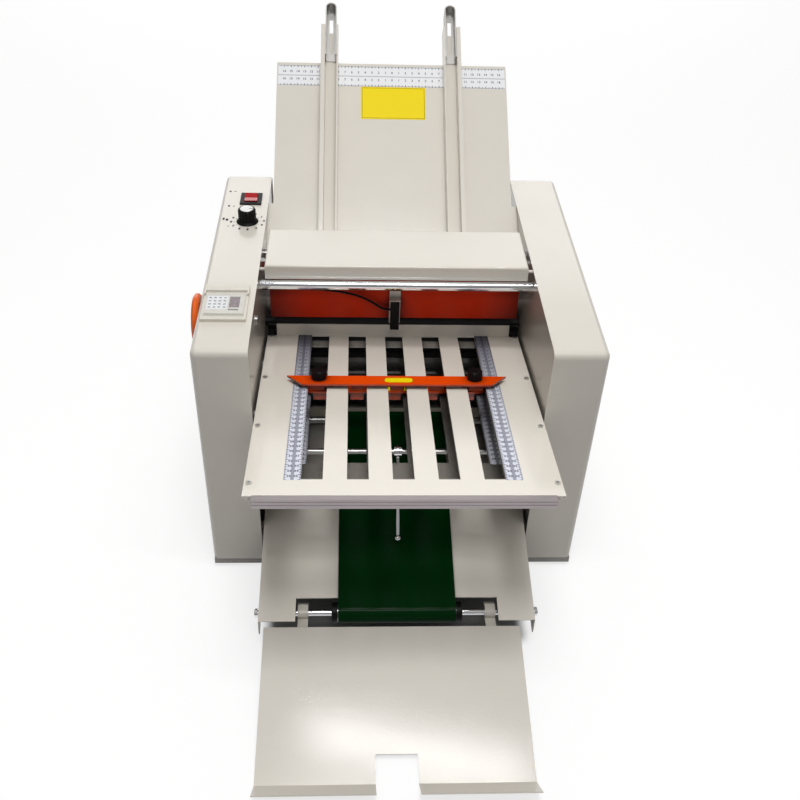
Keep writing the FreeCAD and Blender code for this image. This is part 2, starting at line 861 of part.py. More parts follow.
def panel_holes():
    """Openings for the controls, the hand wheel's shaft and the power inlet."""
    past, top = num("overrun"), num(TOP)
    holes = []
    for x, y, width, length, rim in (
        ("switch_x", "switch_setback", "switch_width", "switch_length", "switch_rim"),
        ("counter_x", "counter_setback", "counter_width", "counter_length", "counter_lip"),
    ):
        half_x, half_y = num(f"{width} / 2 - {rim} + fit"), num(f"{length} / 2 - {rim} + fit")
        cx, cy = -num(x), num(at_y(y))
        holes.append(solid_box(cx - half_x, cy - half_y, top - past, cx + half_x, cy + half_y, top + past))
    holes.append(Part.makeCylinder(num("dial_shaft + seat_gap"), 2 * past,
                                   Vector(-num("dial_x"), num(at_y("dial_setback")), top - past)))
    hand = values(HAND)
    outer = num(HALF_OUTER)
    holes.append(x_cylinder(num("journal_radius + seat_gap"), -outer - past, -outer + past, *hand))
    half_x, half_z = num("inlet_width / 2 - inlet_flange + fit"), num("inlet_height / 2 - inlet_flange + fit")
    cx, cz, rear = -num("inlet_x"), num("inlet_z"), num(at_y("housing_depth"))
    holes.append(solid_box(cx - half_x, rear - past, cz - half_z, cx + half_x, rear + past, cz + half_z))
    return holes


# Screws, cross members and bushes


def screw(x, y, z, direction, depth):
    """A pan-head screw with its head's underside at the place, pointing in a direction."""
    axis = Vector(*direction)
    spot = Vector(x, y, z)
    head = Part.makeCylinder(num("screw_head"), num("screw_head_height"), spot, axis * -1)
    shank = Part.makeCylinder(num("screw_shank"), depth, spot, axis)
    return head.fuse(shank).removeSplitter()


def screw_rows(length):
    """Distances from a fold plate's rear edge at which its screws stand."""
    count = int((num(length) - num("plate_screw_first")) // num("plate_screw_pitch")) + 1
    return [f"plate_screw_first + {k} * plate_screw_pitch" for k in range(count)]


PLATE_SCREW_X = "plate_width / 2 - plate_screw_inset"


def make_screws():
    solids = []
    slope = math.radians(num("plate_slope"))
    down = (0, -math.sin(slope), -math.cos(slope))
    depth = num("2 * leaf_sheet + leaf_gap")
    x = num(PLATE_SCREW_X)
    for origin, length in ((UPPER, "upper_length"), (LOWER, "lower_length")):
        for row in screw_rows(length):
            spot = values(plate_at(origin, row, "0"))
            solids += [screw(sign * x, *spot, down, depth) for sign in (-1, 1)]
    rear = num(at_y("housing_depth"))
    for sign in (-1, 1):
        side = sign * num(total(HALF_GAP, "frame_sheet / 2"))
        for low in ("frame_screw_low", "frame_screw_high"):
            solids.append(screw(side, rear, num(low), (0, -1, 0), num("frame_screw_depth")))
    coded("fixing_screws", Part.makeCompound(solids))


def make_tie_bars():
    under_tray = tray_at("tray_tie_at", "-(tray_sheet + tie_radius + seat_gap)")
    bars = []
    for y, z, radius in (
        (at_y("housing_depth - tie_inset"), total(FLOOR_TOP, "tie_inset"), "tie_radius"),
        (at_y("tie_inset"), total(FLOOR_TOP, "tie_inset / 2"), "tie_radius"),
        (*under_tray, "tie_radius"),
        (*CROSS, "cross_radius"),
    ):
        bar = doc.addObject("Part::Cylinder", "tie_bar")
        bar.setExpression("Radius", bound(radius))
        bar.setExpression("Height", bound("gap_width"))
        bar.Placement = Placement(Vector(0, 0, 0), Rotation(Vector(0, 1, 0), 90))
        place(bar, f"-({HALF_GAP})", y, z)
        bars.append(bar)
    gather("tie_bars", bars)


def bush(sign, y, z):
    """A flanged bush pressed into a frame from outside."""
    inner, length, flange, past = (num(s) for s in (HALF_GAP, "frame_sheet", "bush_flange_sheet", "overrun"))
    body = x_cylinder(num("bush_radius"), sign * inner, sign * (inner + length), y, z)
    end = inner + length
    collar = x_cylinder(num("bush_radius + bush_flange"), sign * end, sign * (end + flange), y, z)
    hole = x_cylinder(num("journal_radius + fit"), sign * (inner - past), sign * (end + past), y, z)
    return body.fuse(collar).removeSplitter().cut(hole)


def make_bushes():
    solids = []
    for sign in (-1, 1):
        spots = bush_spots() + ([HAND] if sign < 0 else [])
        solids += [bush(sign, *values(spot)) for spot in spots]
    coded("roller_bushes", Part.makeCompound(solids))


def make_cross_tube():
    body = new_body("cross_tube")
    extrude(body, "Pad", "YZ_Plane", "gap_width", f"-({HALF_GAP})",
            circles=[("0", "0", "tube_radius"), ("0", "0", "tube_radius - tube_wall")])
    place(body, "0", *TUBE)


# Fold rollers, gears and the drive

LEFT_FACE = "-(gap_width / 2 + frame_sheet)"
GEAR_X = f"{LEFT_FACE} - gear_offset - gear_width"
BELT_X = f"{LEFT_FACE} - belt_offset - belt_width"
RIM_X = f"{BELT_X} - pulley_rim"
RIGHT_END = "gap_width / 2 + frame_sheet + right_end_past"


def pulley_steps(radius, shaft):
    """Steps of a flanged belt pulley, ending on its shaft."""
    rim = f"{radius} + pulley_rim"
    return [(RIM_X, rim), (BELT_X, radius), (f"{BELT_X} + belt_width", rim),
            (f"{BELT_X} + belt_width + pulley_rim", shaft)]


def roller_shaft(number, spot):
    """A ground roller with relief grooves, on journals that reach past both frames."""
    radius = "roller_pitch / 2 - nip_gap / 2"
    pairs = pulley_steps("stack_pulley", "journal_radius") if number == 3 else [(GEAR_X, "journal_radius")]
    pairs.append(("-roller_half", radius))
    for k in (-2, -1, 0, 1, 2):
        pairs.append((f"{k} * groove_pitch - groove_width / 2", f"{radius} - roller_groove"))
        pairs.append((f"{k} * groove_pitch + groove_width / 2", radius))
    pairs += [("roller_half", "journal_radius"), (RIGHT_END, "0")]
    return turned(f"roller_{number}_shaft", steps(*pairs), "0", spot)


def gear_on(name, teeth, phase, spot):
    gear = doc.addObject("Part::Feature", name)
    gear.Shape = spur_gear(teeth, num("roller_pitch / gear_teeth"), num("gear_width"),
                           num("journal_radius + fit / 2"), num("gear_play"), phase, num(GEAR_X), *spot)
    return gear


def make_rollers():
    """The stack of fold rollers and the rear belt roller, each with a gear in mesh with the next."""
    teeth, many = int(num("gear_teeth")), int(num("delivery_teeth"))
    spots = [values(spot) for spot in ROLLERS]
    phase = 0.0
    for k, spot in enumerate(spots):
        if k:
            phase = mesh_phase(phase, teeth, teeth, spots[k - 1], spot)
        gear = gear_on(f"gear_{k + 1}", teeth, phase, spot)
        gather(f"fold_roller_{k + 1}", [roller_shaft(k + 1, ROLLERS[k]), gear])
    rear = values(BELT_REAR)
    phase = mesh_phase(phase, teeth, many, spots[-1], rear)
    drum = turned("rear_drum", steps(
        (GEAR_X, "journal_radius"), ("-(web_half + drum_past)", "belt_roller_radius"),
        ("web_half + drum_past", "journal_radius"), (RIGHT_END, "0")), "0", BELT_REAR)
    gather("rear_belt_roller", [drum, gear_on("rear_gear", many, phase, rear)])


def make_front_belt_roller():
    nut = "delivery_half + shaft_slack"
    turned("front_belt_roller", steps(
        ("-shaft_end", "front_shaft"), (f"-({nut} + shaft_nut_width)", "shaft_nut"),
        (f"-({nut})", "front_shaft"),
        ("-(web_half + drum_past)", "belt_roller_radius"), ("web_half + drum_past", "front_shaft"),
        (nut, "shaft_nut"), (f"{nut} + shaft_nut_width", "front_shaft"), ("shaft_end", "0")), "0", BELT_FRONT)


def make_drive():
    turned("feed_shaft", steps(*pulley_steps("feed_pulley", "journal_radius"), (RIGHT_END, "0")), "0", FEED)
    bore = "journal_radius + fit / 2"
    turned("feed_roller", [
        ("-feed_half", bore), ("-feed_half", "feed_radius - tube_wall"),
        ("tube_wall - feed_half", "feed_radius"), ("feed_half - tube_wall", "feed_radius"),
        ("feed_half", "feed_radius - tube_wall"), ("feed_half", bore)],
        "0", FEED)
    wheel = f"-({HALF_OUTER}) - hand_gap"
    rim = f"{wheel} - hand_width"
    turned("idler_shaft", [(f"{rim} + tube_wall", "0"), (f"{rim} + tube_wall", "journal_radius"),
                                      (RIM_X, "journal_radius")] + steps(
        *pulley_steps("hand_pulley", "journal_radius"), (f"-({HALF_GAP}) + shaft_slack", "0"))[1:], "0", HAND)
    turned("handwheel", [
        (wheel, bore), (wheel, "hand_radius - hand_gap"), (f"{wheel} - hand_gap", "hand_radius"),
        (f"{rim} + hand_gap", "hand_radius"), (rim, "hand_radius - hand_gap"),
        (rim, "hand_radius - 3 * hand_gap"),
        (f"{rim} + hand_dish", "hand_radius - 4 * hand_gap"), (f"{rim} + hand_dish", "hand_hub + hand_gap"),
        (rim, "hand_hub"), (rim, bore)], "0", HAND)
    turned("motor_pulley", steps(*pulley_steps("drive_pulley", "motor_shaft"),
                                            (f"-({HALF_GAP}) + motor_bore - shaft_slack", "0")), "0", MOTOR)
    wall = f"-({HALF_GAP})"
    far, floor = f"{wall} + motor_length", f"{wall} + motor_bore"
    turned("drive_motor", [
        (wall, "motor_shaft + fit"), (wall, "motor_radius"), (far, "motor_radius"), (far, "0"), (floor, "0"),
        (floor, "motor_shaft + fit")], "0", MOTOR)


def make_belts():
    """The toothed drive belt round four pulleys, and the flat green web round its two rollers."""
    loop = [(*values(MOTOR), "drive_pulley"), (*values(ROLLER_3), "stack_pulley"),
            (*values(FEED), "feed_pulley"),
            (*values(HAND), "hand_pulley")]
    circles = [(y, z, num(radius)) for y, z, radius in loop]
    x0, x1 = num(f"{BELT_X} + seat_gap"), num(f"{BELT_X} + belt_width - seat_gap")
    fit = num("fit")
    inner = belt_loop(circles, fit, x0, x1)
    coded("drive_belt", belt_loop(circles, fit + num("belt_sheet"), x0, x1).cut(inner))
    radius, half = num("belt_roller_radius"), num("web_half")
    circles = [(*values(BELT_FRONT), radius), (*values(BELT_REAR), radius)]
    web = belt_loop(circles, fit + num("web_sheet"), -half, half).cut(belt_loop(circles, fit, -half, half))
    coded("delivery_belt", web)


# Fold plates and their stops


def slot_rects(start, end):
    out = []
    for k in (-2, -1, 0, 1, 2):
        x = f"{k} * slot_pitch"
        out.append(rect(f"{x} - slot_width / 2", f"-({end})", f"{x} + slot_width / 2", f"-({start})"))
    return out


def screw_circles(length):
    return [(f"{side} * ({PLATE_SCREW_X})", f"-({row})", "screw_shank + fit")
            for side in ("-1", "1") for row in screw_rows(length)]


def low_circles(length):
    return [c for c in screw_circles(length) if num(f"-({c[1]})") > num("under_leaf_back + screw_head")]


def make_fold_plate(name, origin, length, slot_end):
    """A slotted fold plate: an upper leaf with bent-down sides, and a lower leaf held off by side strips."""
    half = "plate_width / 2"
    top = new_body(f"{name}_plate_top")
    extrude(top, "Pad", "XY_Plane", "leaf_sheet", "-leaf_sheet",
            [rect(f"-{half}", f"-{length}", half, "0")] + slot_rects("slot_start", slot_end),
            screw_circles(length))
    side = [("0", "0"), (f"-{length}", "0"), (f"-{length}", "-3 * leaf_sheet"),
            (f"plate_taper - {length}", "-plate_flange"), ("0", "-plate_flange")]
    for start in (f"-{half}", f"{half} - leaf_sheet"):
        extrude(top, "Pad", "YZ_Plane", "leaf_sheet", start, [side])
    extrude(top, "Pad", "YZ_Plane", "2 * mouth_bar_half", "-mouth_bar_half",
            [rect("-mouth_bar_back", "-leaf_sheet / 2", "-(mouth_bar_back + leaf_sheet)", "mouth_bar_height")])
    place(top, "0", *origin, "plate_slope", -1)
    low = new_body(f"{name}_plate_bottom")
    wide = f"{half} - under_leaf_side"
    extrude(low, "Pad", "XY_Plane", "leaf_sheet", "-(2 * leaf_sheet + leaf_gap)",
            [rect(f"-({wide})", f"-{length}", wide, "-under_leaf_back")]
            + slot_rects("under_slot_start", slot_end),
            low_circles(length))
    for side in ("-1", "1"):
        edge = [rect(f"{side} * ({wide})", f"-{length}",
                     f"{side} * ({wide} - spacer_width)", "-under_leaf_back")]
        extrude(low, "Pad", "XY_Plane", "leaf_gap", "-(leaf_sheet + leaf_gap)", edge,
                [c for c in low_circles(length) if c[0].startswith(f"{side} ")])
    place(low, "0", *origin, "plate_slope", -1)


def make_edge_bar():
    """The grooved bar across the front of the upper fold plate."""
    body = new_body("upper_front_bar")
    low, high = "edge_bar_rise - edge_bar_height", "edge_bar_rise"
    near, far = "-upper_length", "-(upper_length + edge_bar_depth)"
    step = "edge_bar_height / 6"
    points = [(near, low), (near, high), (far, high)]
    for k in (1, 3):
        points += [(far, f"{high} - {k} * {step}"), (f"{far} + edge_groove", f"{high} - {k} * {step}"),
                   (f"{far} + edge_groove", f"{high} - {k + 1} * {step}"), (far, f"{high} - {k + 1} * {step}")]
    points.append((far, low))
    extrude(body, "Pad", "YZ_Plane", "2 * edge_bar_half", "-edge_bar_half", [points])
    place(body, "0", *UPPER, "plate_slope", -1)


def make_stop(name, origin, at, width):
    """A cross bar that glides on the plate, with fingers down through the slots."""
    body = new_body(f"{name}_stop_bar")
    extrude(body, "Pad", "XY_Plane", "stop_sheet", "stop_rise",
            [[("-stop_rear_half", "0"), ("stop_rear_half", "0"), ("stop_front_half", f"-{width}"),
              ("-stop_front_half", f"-{width}")]])
    for side in ("-1", "1"):
        extrude(body, "Pad", "XY_Plane", "stop_rise - glide_gap", "glide_gap",
                [square(f"{side} * knob_out", f"-{width} / 2", "shoulder_width / 2",
                        f"{width} / 2 - shoulder_inset")])
    reach = "2 * leaf_sheet + leaf_gap + finger_past"
    for k in (-2, -1, 0, 1, 2):
        middle = "-(finger_back + finger_depth / 2)"
        extrude(body, "Pad", "XY_Plane", f"{reach} + stop_rise", f"-({reach})",
                [square(f"{k} * slot_pitch", middle, "finger_width / 2", "finger_depth / 2")])
    holes = [(f"{side} * knob_out", "-knob_in", "stud_radius + fit") for side in ("-1", "1")]
    top = "stop_rise + stop_sheet"
    extrude(body, "Pocket", "XY_Plane", "2 * (stud_depth + glide_gap)", top, circles=holes, both=True)
    place(body, "0", *plate_at(origin, at, "0"), "plate_slope", -1)


def fluted_knob(radius, height, stem, depth):
    """A knob standing on z = 0 with vertical flutes and a chamfered top, on a stem that goes down."""
    chamfer = num("knob_sink")
    body = Part.makeCylinder(radius, height - chamfer).fuse(
        Part.makeCone(radius, radius - chamfer, chamfer, Vector(0, 0, height - chamfer)))
    flute, count = num("knob_flute"), int(num("knob_flutes"))
    cuts = []
    for k in range(count):
        turn = 2 * math.pi * k / count
        spot = Vector(radius * math.cos(turn), radius * math.sin(turn), -flute)
        cuts.append(Part.makeCylinder(flute, height + 2 * flute, spot))
    body = body.removeSplitter().cut(Part.makeCompound(cuts))
    return body.fuse(Part.makeCylinder(stem, depth + chamfer, Vector(0, 0, -depth))).removeSplitter()


def make_stop_knobs():
    knob = fluted_knob(num("knob_radius"), num("knob_height"), num("stud_radius"), num("stud_depth"))
    rise = "stop_rise + stop_sheet"
    for side, sign in (("left", "-1"), ("right", "1")):
        item = coded(f"upper_{side}_knob", knob)
        place(item, f"{sign} * knob_out", *plate_at(UPPER, "upper_stop_at + knob_in", rise), "plate_slope", -1)
    pair = []
    for sign in (-1, 1):
        one = knob.copy()
        one.translate(Vector(sign * num("knob_out"), 0, 0))
        pair.append(one)
    item = coded("lower_stop_knobs", Part.makeCompound(pair))
    place(item, "0", *plate_at(LOWER, "lower_stop_at + knob_in", rise), "plate_slope", -1)


def make_latches():
    """The two black blocks with round knobs that hold the fold plate's rear corners."""
    solids = []
    for sign in (-1, 1):
        x0 = sign * num("mouth_bar_half + seat_gap")
        x1 = x0 + sign * num("latch_width")
        front = -num("latch_front + latch_depth")
        block = solid_box(x0, front, 0, x1, -num("latch_front"), num("latch_height"))
        knob = Part.makeCylinder(num("latch_knob"), num("latch_knob_reach + fit"),
                                 Vector((x0 + x1) / 2, front + num("fit"), num("latch_height / 2")),
                                 Vector(0, -1, 0))
        solids.append(block.fuse(knob).removeSplitter())
    item = coded("latch_blocks", Part.makeCompound(solids))
    place(item, "0", *UPPER, "plate_slope", -1)


# Covers, sheet guides and the sensor


def spots(*names):
    """The (y, z) places whose setback and drop carry these names."""
    return [(num(at_y(f"{name}_setback")), num(at_z(f"{name}_drop"))) for name in names]


def make_top_cover():
    body = new_body("top_cover")
    front, rear = at_y("cover_front"), at_y("cover_rear")
    top, low = at_z("-cover_rise"), at_z("cover_front_drop")
    pad = extrude(body, "Pad", "YZ_Plane", "2 * cover_half", "-cover_half", [rect(front, low, rear, top)])
    doc.recompute()
    small, roof = num("fit"), num(top)
    names = [f"Edge{i}" for i, e in enumerate(pad.Shape.Edges, start=1) if abs(e.BoundBox.ZMin - roof) < small]
    rounded = body.newObject("PartDesign::Fillet", "cover_round")
    rounded.Base = (pad, names)
    rounded.setExpression("Radius", bound("cover_radius"))
    extrude(body, "Pocket", "YZ_Plane", "2 * (cover_half - cover_sheet)", "0",
            [rect(total(front, "cover_sheet"), less(low, "overrun"), less(rear, "cover_sheet"),
                  less(top, "cover_sheet"))], both=True)
    for start in ("cover_half - fit", "-(cover_half + cover_pin_length)"):
        extrude(body, "Pad", "YZ_Plane", "cover_pin_length + fit", start, circles=[(*COVER_PIVOT, "cover_pin")])


def make_screen():
    """The dark red cover plate over the fold rollers, with a lip that reaches both frames."""
    half, sheet = num("screen_half"), num("screen_sheet")
    top = num(at_z("screen_top"))
    front, bend = num(at_y("screen_setback")), num(at_z("screen_bend"))
    lean, low = front + num("screen_lean"), num(at_z("screen_bottom"))
    points = [(lean + num("screen_lip"), top), (lean, top), (front, bend), (front, low),
              (front + num("screen_hem"), low)]
    gap = num(HALF_GAP)
    lip = solid_box(-gap, lean + sheet, top - sheet, gap, lean + num("screen_lip"), top)
    coded("red_cover_plate", bent_sheet(points, sheet, -half, half).fuse(lip).removeSplitter())


def make_guides():
    gap, sheet, past = num(HALF_GAP), num("guide_sheet"), num("overrun")
    points = spots("guide_top", "guide_knee", "guide_low", "guide_end")
    coded("feed_guide", bent_sheet(points, -sheet, -gap, gap))
    y, z = values(ROLLER_3)
    inner = num("roller_pitch / 2 + deflector_play")
    half = num("deflector_half_angle")
    ring = x_cylinder(inner + sheet, -gap, gap, y, z).cut(x_cylinder(inner, -gap - past, gap + past, y, z))
    reach = 2 * inner
    arm = [(reach * math.cos(math.radians(a)), reach * math.sin(math.radians(a))) for a in (-half, half)]
    wedge = [Vector(-gap - past, y, z)] + [Vector(-gap - past, y + a, z + b) for a, b in arm]
    sector = Part.Face(Part.makePolygon(wedge + wedge[:1])).extrude(Vector(2 * (gap + past), 0, 0))
    coded("rear_deflector", ring.common(sector))


def make_sensor():
    body = new_body("sensor_body")
    back = at_y("screen_setback - bracket_sheet")
    front = less(back, "sensor_depth")
    extrude(body, "Pad", "XY_Plane", "sensor_bottom - sensor_top", at_z("sensor_bottom"),
            [rect("-sensor_half", front, "sensor_half", back)])
    bracket = new_body("sensor_bracket")
    extrude(bracket, "Pad", "YZ_Plane", "2 * bracket_half", "-bracket_half",
            [[(at_y("screen_setback"), at_z("bracket_top")),
              (at_y("screen_setback"), at_z("sensor_bottom - latch_depth")),
              (back, at_z("sensor_bottom - latch_depth")), (back, at_z("sensor_top")), (front, at_z("sensor_top")),
              (front, at_z("sensor_top - bracket_sheet")), (back, at_z("sensor_top - bracket_sheet")),
              (back, at_z("bracket_top"))]])


LEAD_CORNERS = 7
ARC_SHARE = 0.45


def lead_route():
    """Corner points of the sensor's lead: from the sensor behind the tube, through the frame, to the board."""
    top, y = num(TOP), num(at_y("lead_setback"))
    rise, end = top - num("lead_board_drop"), num(at_y("board_from - fit"))
    wall, out = num("lead_wall_gap") - num(HALF_GAP), -num("lead_rise_out")
    low = top - num("lead_end_drop")
    points = [Vector(-num("sensor_half"), y, top - num("lead_1_drop"))]
    for k in range(1, LEAD_CORNERS + 1):
        points.append(Vector(-num(f"lead_{k}_out"), y - num(f"lead_{k}_fore"), top - num(f"lead_{k}_drop")))
    points += [Vector(wall, y, low), Vector(out, y, low), Vector(out, y, rise)]
    points += [Vector(out, (y + end) / 2, rise - num("lead_sag")), Vector(out, end, rise)]
    return points


def round_path(points, share):
    """Straight runs joined by tangent arcs, each as large as a share of its shorter run allows."""
    edges, radii = [], []
    last = points[0]
    for a, b, c in zip(points[:-2], points[1:-1], points[2:]):
        u, v = (a - b), (c - b)
        reach = share * min(u.Length, v.Length)
        u.normalize()
        v.normalize()
        turn = math.pi - math.acos(max(-1.0, min(1.0, u.dot(v))))
        radius = reach / math.tan(turn / 2)
        start, end = b + u * reach, b + v * reach
        bisector = (u + v).normalize()
        middle = b + bisector * (radius / math.cos(turn / 2) - radius)
        edges += [Part.makeLine(last, start), Part.Arc(start, middle, end).toShape()]
        radii.append(radius)
        last = end
    edges.append(Part.makeLine(last, points[-1]))
    return Part.Wire(edges), radii


def make_lead():
    points = lead_route()
    wire, radii = round_path(points, ARC_SHARE)
    radius = num("lead_radius")
    circle = Part.Wire(Part.Circle(points[0], points[1] - points[0], radius).toShape())
    tube = wire.makePipeShell([circle], True, True)
    ideal = math.pi * radius ** 2 * wire.Length
    print("lead length", round(wire.Length, 1), "volume share", round(tube.Volume / ideal, 4))
    print("lead radii", [round(r, 1) for r in radii])
    coded("sensor_lead", tube)


# Feed tray with its paper guides


def make_feed_tray():
    body = new_body("feed_tray")
    half = "tray_width / 2"
    extrude(body, "Pad", "XY_Plane", "tray_sheet", "-tray_sheet",
            [rect(f"-{half}", "0", half, "tray_length")])
    side = rect("tray_ear_from + tray_ear_length", "-tray_flange", "tray_length", "0")
    for start in (f"-{half}", f"{half} - tray_sheet"):
        extrude(body, "Pad", "YZ_Plane", "tray_sheet", start, [side])
    ears = [rect(f"{sign} * ({half} - fit)", "tray_ear_from",
                 f"{sign} * ({HALF_GAP})", "tray_ear_from + tray_ear_length")
            for sign in ("-1", "1")]
    extrude(body, "Pad", "XY_Plane", "tray_sheet", "-tray_sheet", ears)
    place(body, "0", *TRAY, "tray_slope")
    pad = new_body("separator_pad")
    extrude(pad, "Pad", "XY_Plane", "pad_sheet", "0",
            [rect("-pad_half", "feed_at - pad_length / 2", "pad_half", "feed_at + pad_length / 2")])
    place(pad, "0", *TRAY, "tray_slope")


def make_arm(side, sign):
    """A paper guide: an open channel on the feed tray, hooked under the tray's top edge."""
    body = new_body(f"{side}_guide_arm")
    wide, wall = "(arm_channel / 2 + arm_wall)", "arm_wall"
    low, high = "arm_glide", "arm_height"
    rim = f"{high} - arm_wall"
    section = [(f"-{wide}", low), (wide, low), (wide, rim), (f"{wide} + arm_strip", rim),
               (f"{wide} + arm_strip", high), ("arm_channel / 2", high),
               ("arm_channel / 2", f"{low} + {wall}"), ("-arm_channel / 2", f"{low} + {wall}"),
               ("-arm_channel / 2", high), (f"-{wide}", high)]
    outline = [(f"{sign} * ({x})", z) for x, z in section]
    extrude(body, "Pad", "XZ_Plane", "arm_end - arm_start", "-arm_end", [outline])
    under = "-(tray_sheet + arm_glide + arm_hook_sheet)"
    edge = "tray_length + seat_gap"
    hook = [(edge, f"{low} + fit"), (f"{edge} + arm_hook_sheet", f"{low} + fit"),
            (f"{edge} + arm_hook_sheet", under),
            ("tray_length - arm_hook", under), ("tray_length - arm_hook", "-(tray_sheet + arm_glide)"),
            (edge, "-(tray_sheet + arm_glide)")]
    extrude(body, "Pad", "YZ_Plane", "arm_channel", "-arm_channel / 2", [hook])
    place(body, f"{sign} * {side}_arm_x", *TRAY, "tray_slope")


def make_insert(side, sign):
    """The slotted metal extension that slides in a guide's channel: a shallow trough with a round end."""
    body = new_body(f"{side}_arm_insert")
    half, top = "insert_width / 2", "arm_height - insert_drop"
    inner = f"({half} - insert_sheet)"
    floor = "2 * arm_glide + arm_wall"
    round_at = f"insert_start + insert_length - {half}"
    height, deep = f"{top} - ({floor})", f"2 * ({top} - ({floor}) - insert_sheet)"
    extrude(body, "Pad", "XY_Plane", height, floor, [rect(f"-{half}", "insert_start", half, round_at)])
    extrude(body, "Pad", "XY_Plane", height, floor, circles=[("0", round_at, half)])
    extrude(body, "Pocket", "XY_Plane", deep, top,
            [rect(f"-{inner}", "insert_start - overrun", inner, round_at)], both=True)
    extrude(body, "Pocket", "XY_Plane", deep, top, circles=[("0", round_at, inner)], both=True)
    slot = rect("-insert_slot_width / 2", "insert_start + insert_slot_start", "insert_slot_width / 2",
                "insert_start + insert_slot_start + insert_slot_length")
    extrude(body, "Pocket", "XY_Plane", "4 * insert_sheet", floor, [slot], both=True)
    place(body, f"{sign} * {side}_arm_x", *TRAY, "tray_slope")


# Delivery table, hold-down rod and receiving tray


def make_delivery_table():
    """The sloping table under the web, with deep side flanges that also carry the exit chute."""
    sheet, half, deep = (num(s) for s in ("delivery_sheet", "delivery_half", "delivery_flange"))
    slope = math.radians(num("delivery_slope"))
    ty, tz = values(TABLE)

    def line(setback):
        y = num(at_y(setback))
        return y, tz + (y - ty) * math.tan(slope)

    front, rear = line("-delivery_front"), line("delivery_rear")
    chute = spots("chute_lip", "chute_low", "chute_knee", "chute_end")
    drop = deep / math.cos(slope)
    foot = [(chute[3][0], num(at_z("chute_knee_drop + sensor_half"))),
            (num(at_y("chute_foot_setback")), num(at_z("chute_foot_drop")))]
    outline = [front, rear] + chute + foot + [(rear[0], rear[1] - drop), (front[0], front[1] - drop)]
    solid = bent_sheet([front, rear], -sheet, -half, half).fuse(bent_sheet(chute, -sheet, -half, half))
    for x0 in (-half, half - sheet):
        wire = Part.makePolygon([Vector(x0, y, z) for y, z in outline + outline[:1]])
        solid = solid.fuse(Part.Face(wire).extrude(Vector(sheet, 0, 0)))
    wide, past = num("cutout_half"), num("overrun")
    cutout = solid_box(-wide, front[0] - past, front[1] - past, wide, num(at_y("-cutout_setback")), rear[1])
    solid = solid.cut(cutout)
    for spot, radius in ((BELT_FRONT, "front_shaft + fit"), (BELT_REAR, "journal_radius + shaft_slack")):
        solid = solid.cut(x_cylinder(num(radius), -half - past, half + past, *values(spot)))
    coded("delivery_table", solid.removeSplitter())


def make_hold_down():
    """A rod that hangs from the cross bar and rests its ball on the web."""
    x, half = num("hold_x"), num("hold_hub_half")
    (y0, z0), (y1, z1) = values(CROSS), values(HOLD_TIP)
    axis = Vector(0, y1 - y0, z1 - z0)
    rod = Part.makeCylinder(num("hold_rod"), axis.Length, Vector(x, y0, z0), axis)
    ball = Part.makeSphere(num("hold_ball"), Vector(x, y1, z1))
    hub = x_cylinder(num("hold_hub"), x - half, x + half, y0, z0)
    bore = x_cylinder(num("cross_radius + fit"), x - 2 * half, x + 2 * half, y0, z0)
    coded("hold_down_rod", hub.fuse([rod, ball]).removeSplitter().cut(bore))


def rest_points():
    """The receiving tray's upper face, from its top edge down to the floor and up its lip."""
    sheet = num("rest_sheet")
    top = (num(at_y("-rest_top_front")), num(at_z("rest_top_drop")))
    bend, tip = num(at_y("-rest_bend_front")), num(at_y("-rest_lip_front"))
    rise = num("rest_lip_rise")
    points = [top, (bend, 0.0), (tip, rise)]
    lift = -offset_line(points, sheet)[1][1]
    return [top, (bend, lift), (tip, rise + lift)]


def make_receiving_tray():
    sheet, half, shift = (num(s) for s in ("rest_sheet", "rest_half", "rest_shift"))
    points = rest_points()
    solid = bent_sheet(points, sheet, -shift - half, -shift + half)
    wide, middle, past = num("notch_half"), -num("notch_shift"), num("overrun")
    notch = solid_box(middle - wide, points[2][0] - past, -past,
                      middle + wide, num(at_y("-notch_from")), points[0][1])
    coded("receiving_tray", solid.cut(notch).removeSplitter())
    y, z = values(BELT_FRONT)
    inner, strap, width = num("front_shaft + fit"), num("hook_sheet"), num("hook_width")
    dy, dz = points[1][0] - points[0][0], points[1][1] - points[0][1]
    size = math.hypot(dy, dz)
    reach = num("hook_tongue") / size
    under = offset_line(points, sheet)[0]
    tongue = [(y, z - inner - strap / 2), under, (under[0] + dy * reach, under[1] + dz * reach)]
    crest, end = z + inner, y + num("hook_tail")
    tail = [(y, crest), (y + num("hook_tail") / 2, crest), (end, crest - num("hook_tail_dip"))]
    hooks = []
    for sign in (-1, 1):
        x0 = sign * num("hook_centre") - width / 2
        ring = x_cylinder(inner + strap, x0, x0 + width, y, z)
        straps = [bent_sheet(line, strap, x0, x0 + width) for line in (tongue, tail)]
        solid = ring.fuse(straps)
        hooks.append(solid.cut(x_cylinder(inner, x0 - past, x0 + width + past, y, z)).removeSplitter())
    coded("tray_hooks", Part.makeCompound(hooks))


# Controls


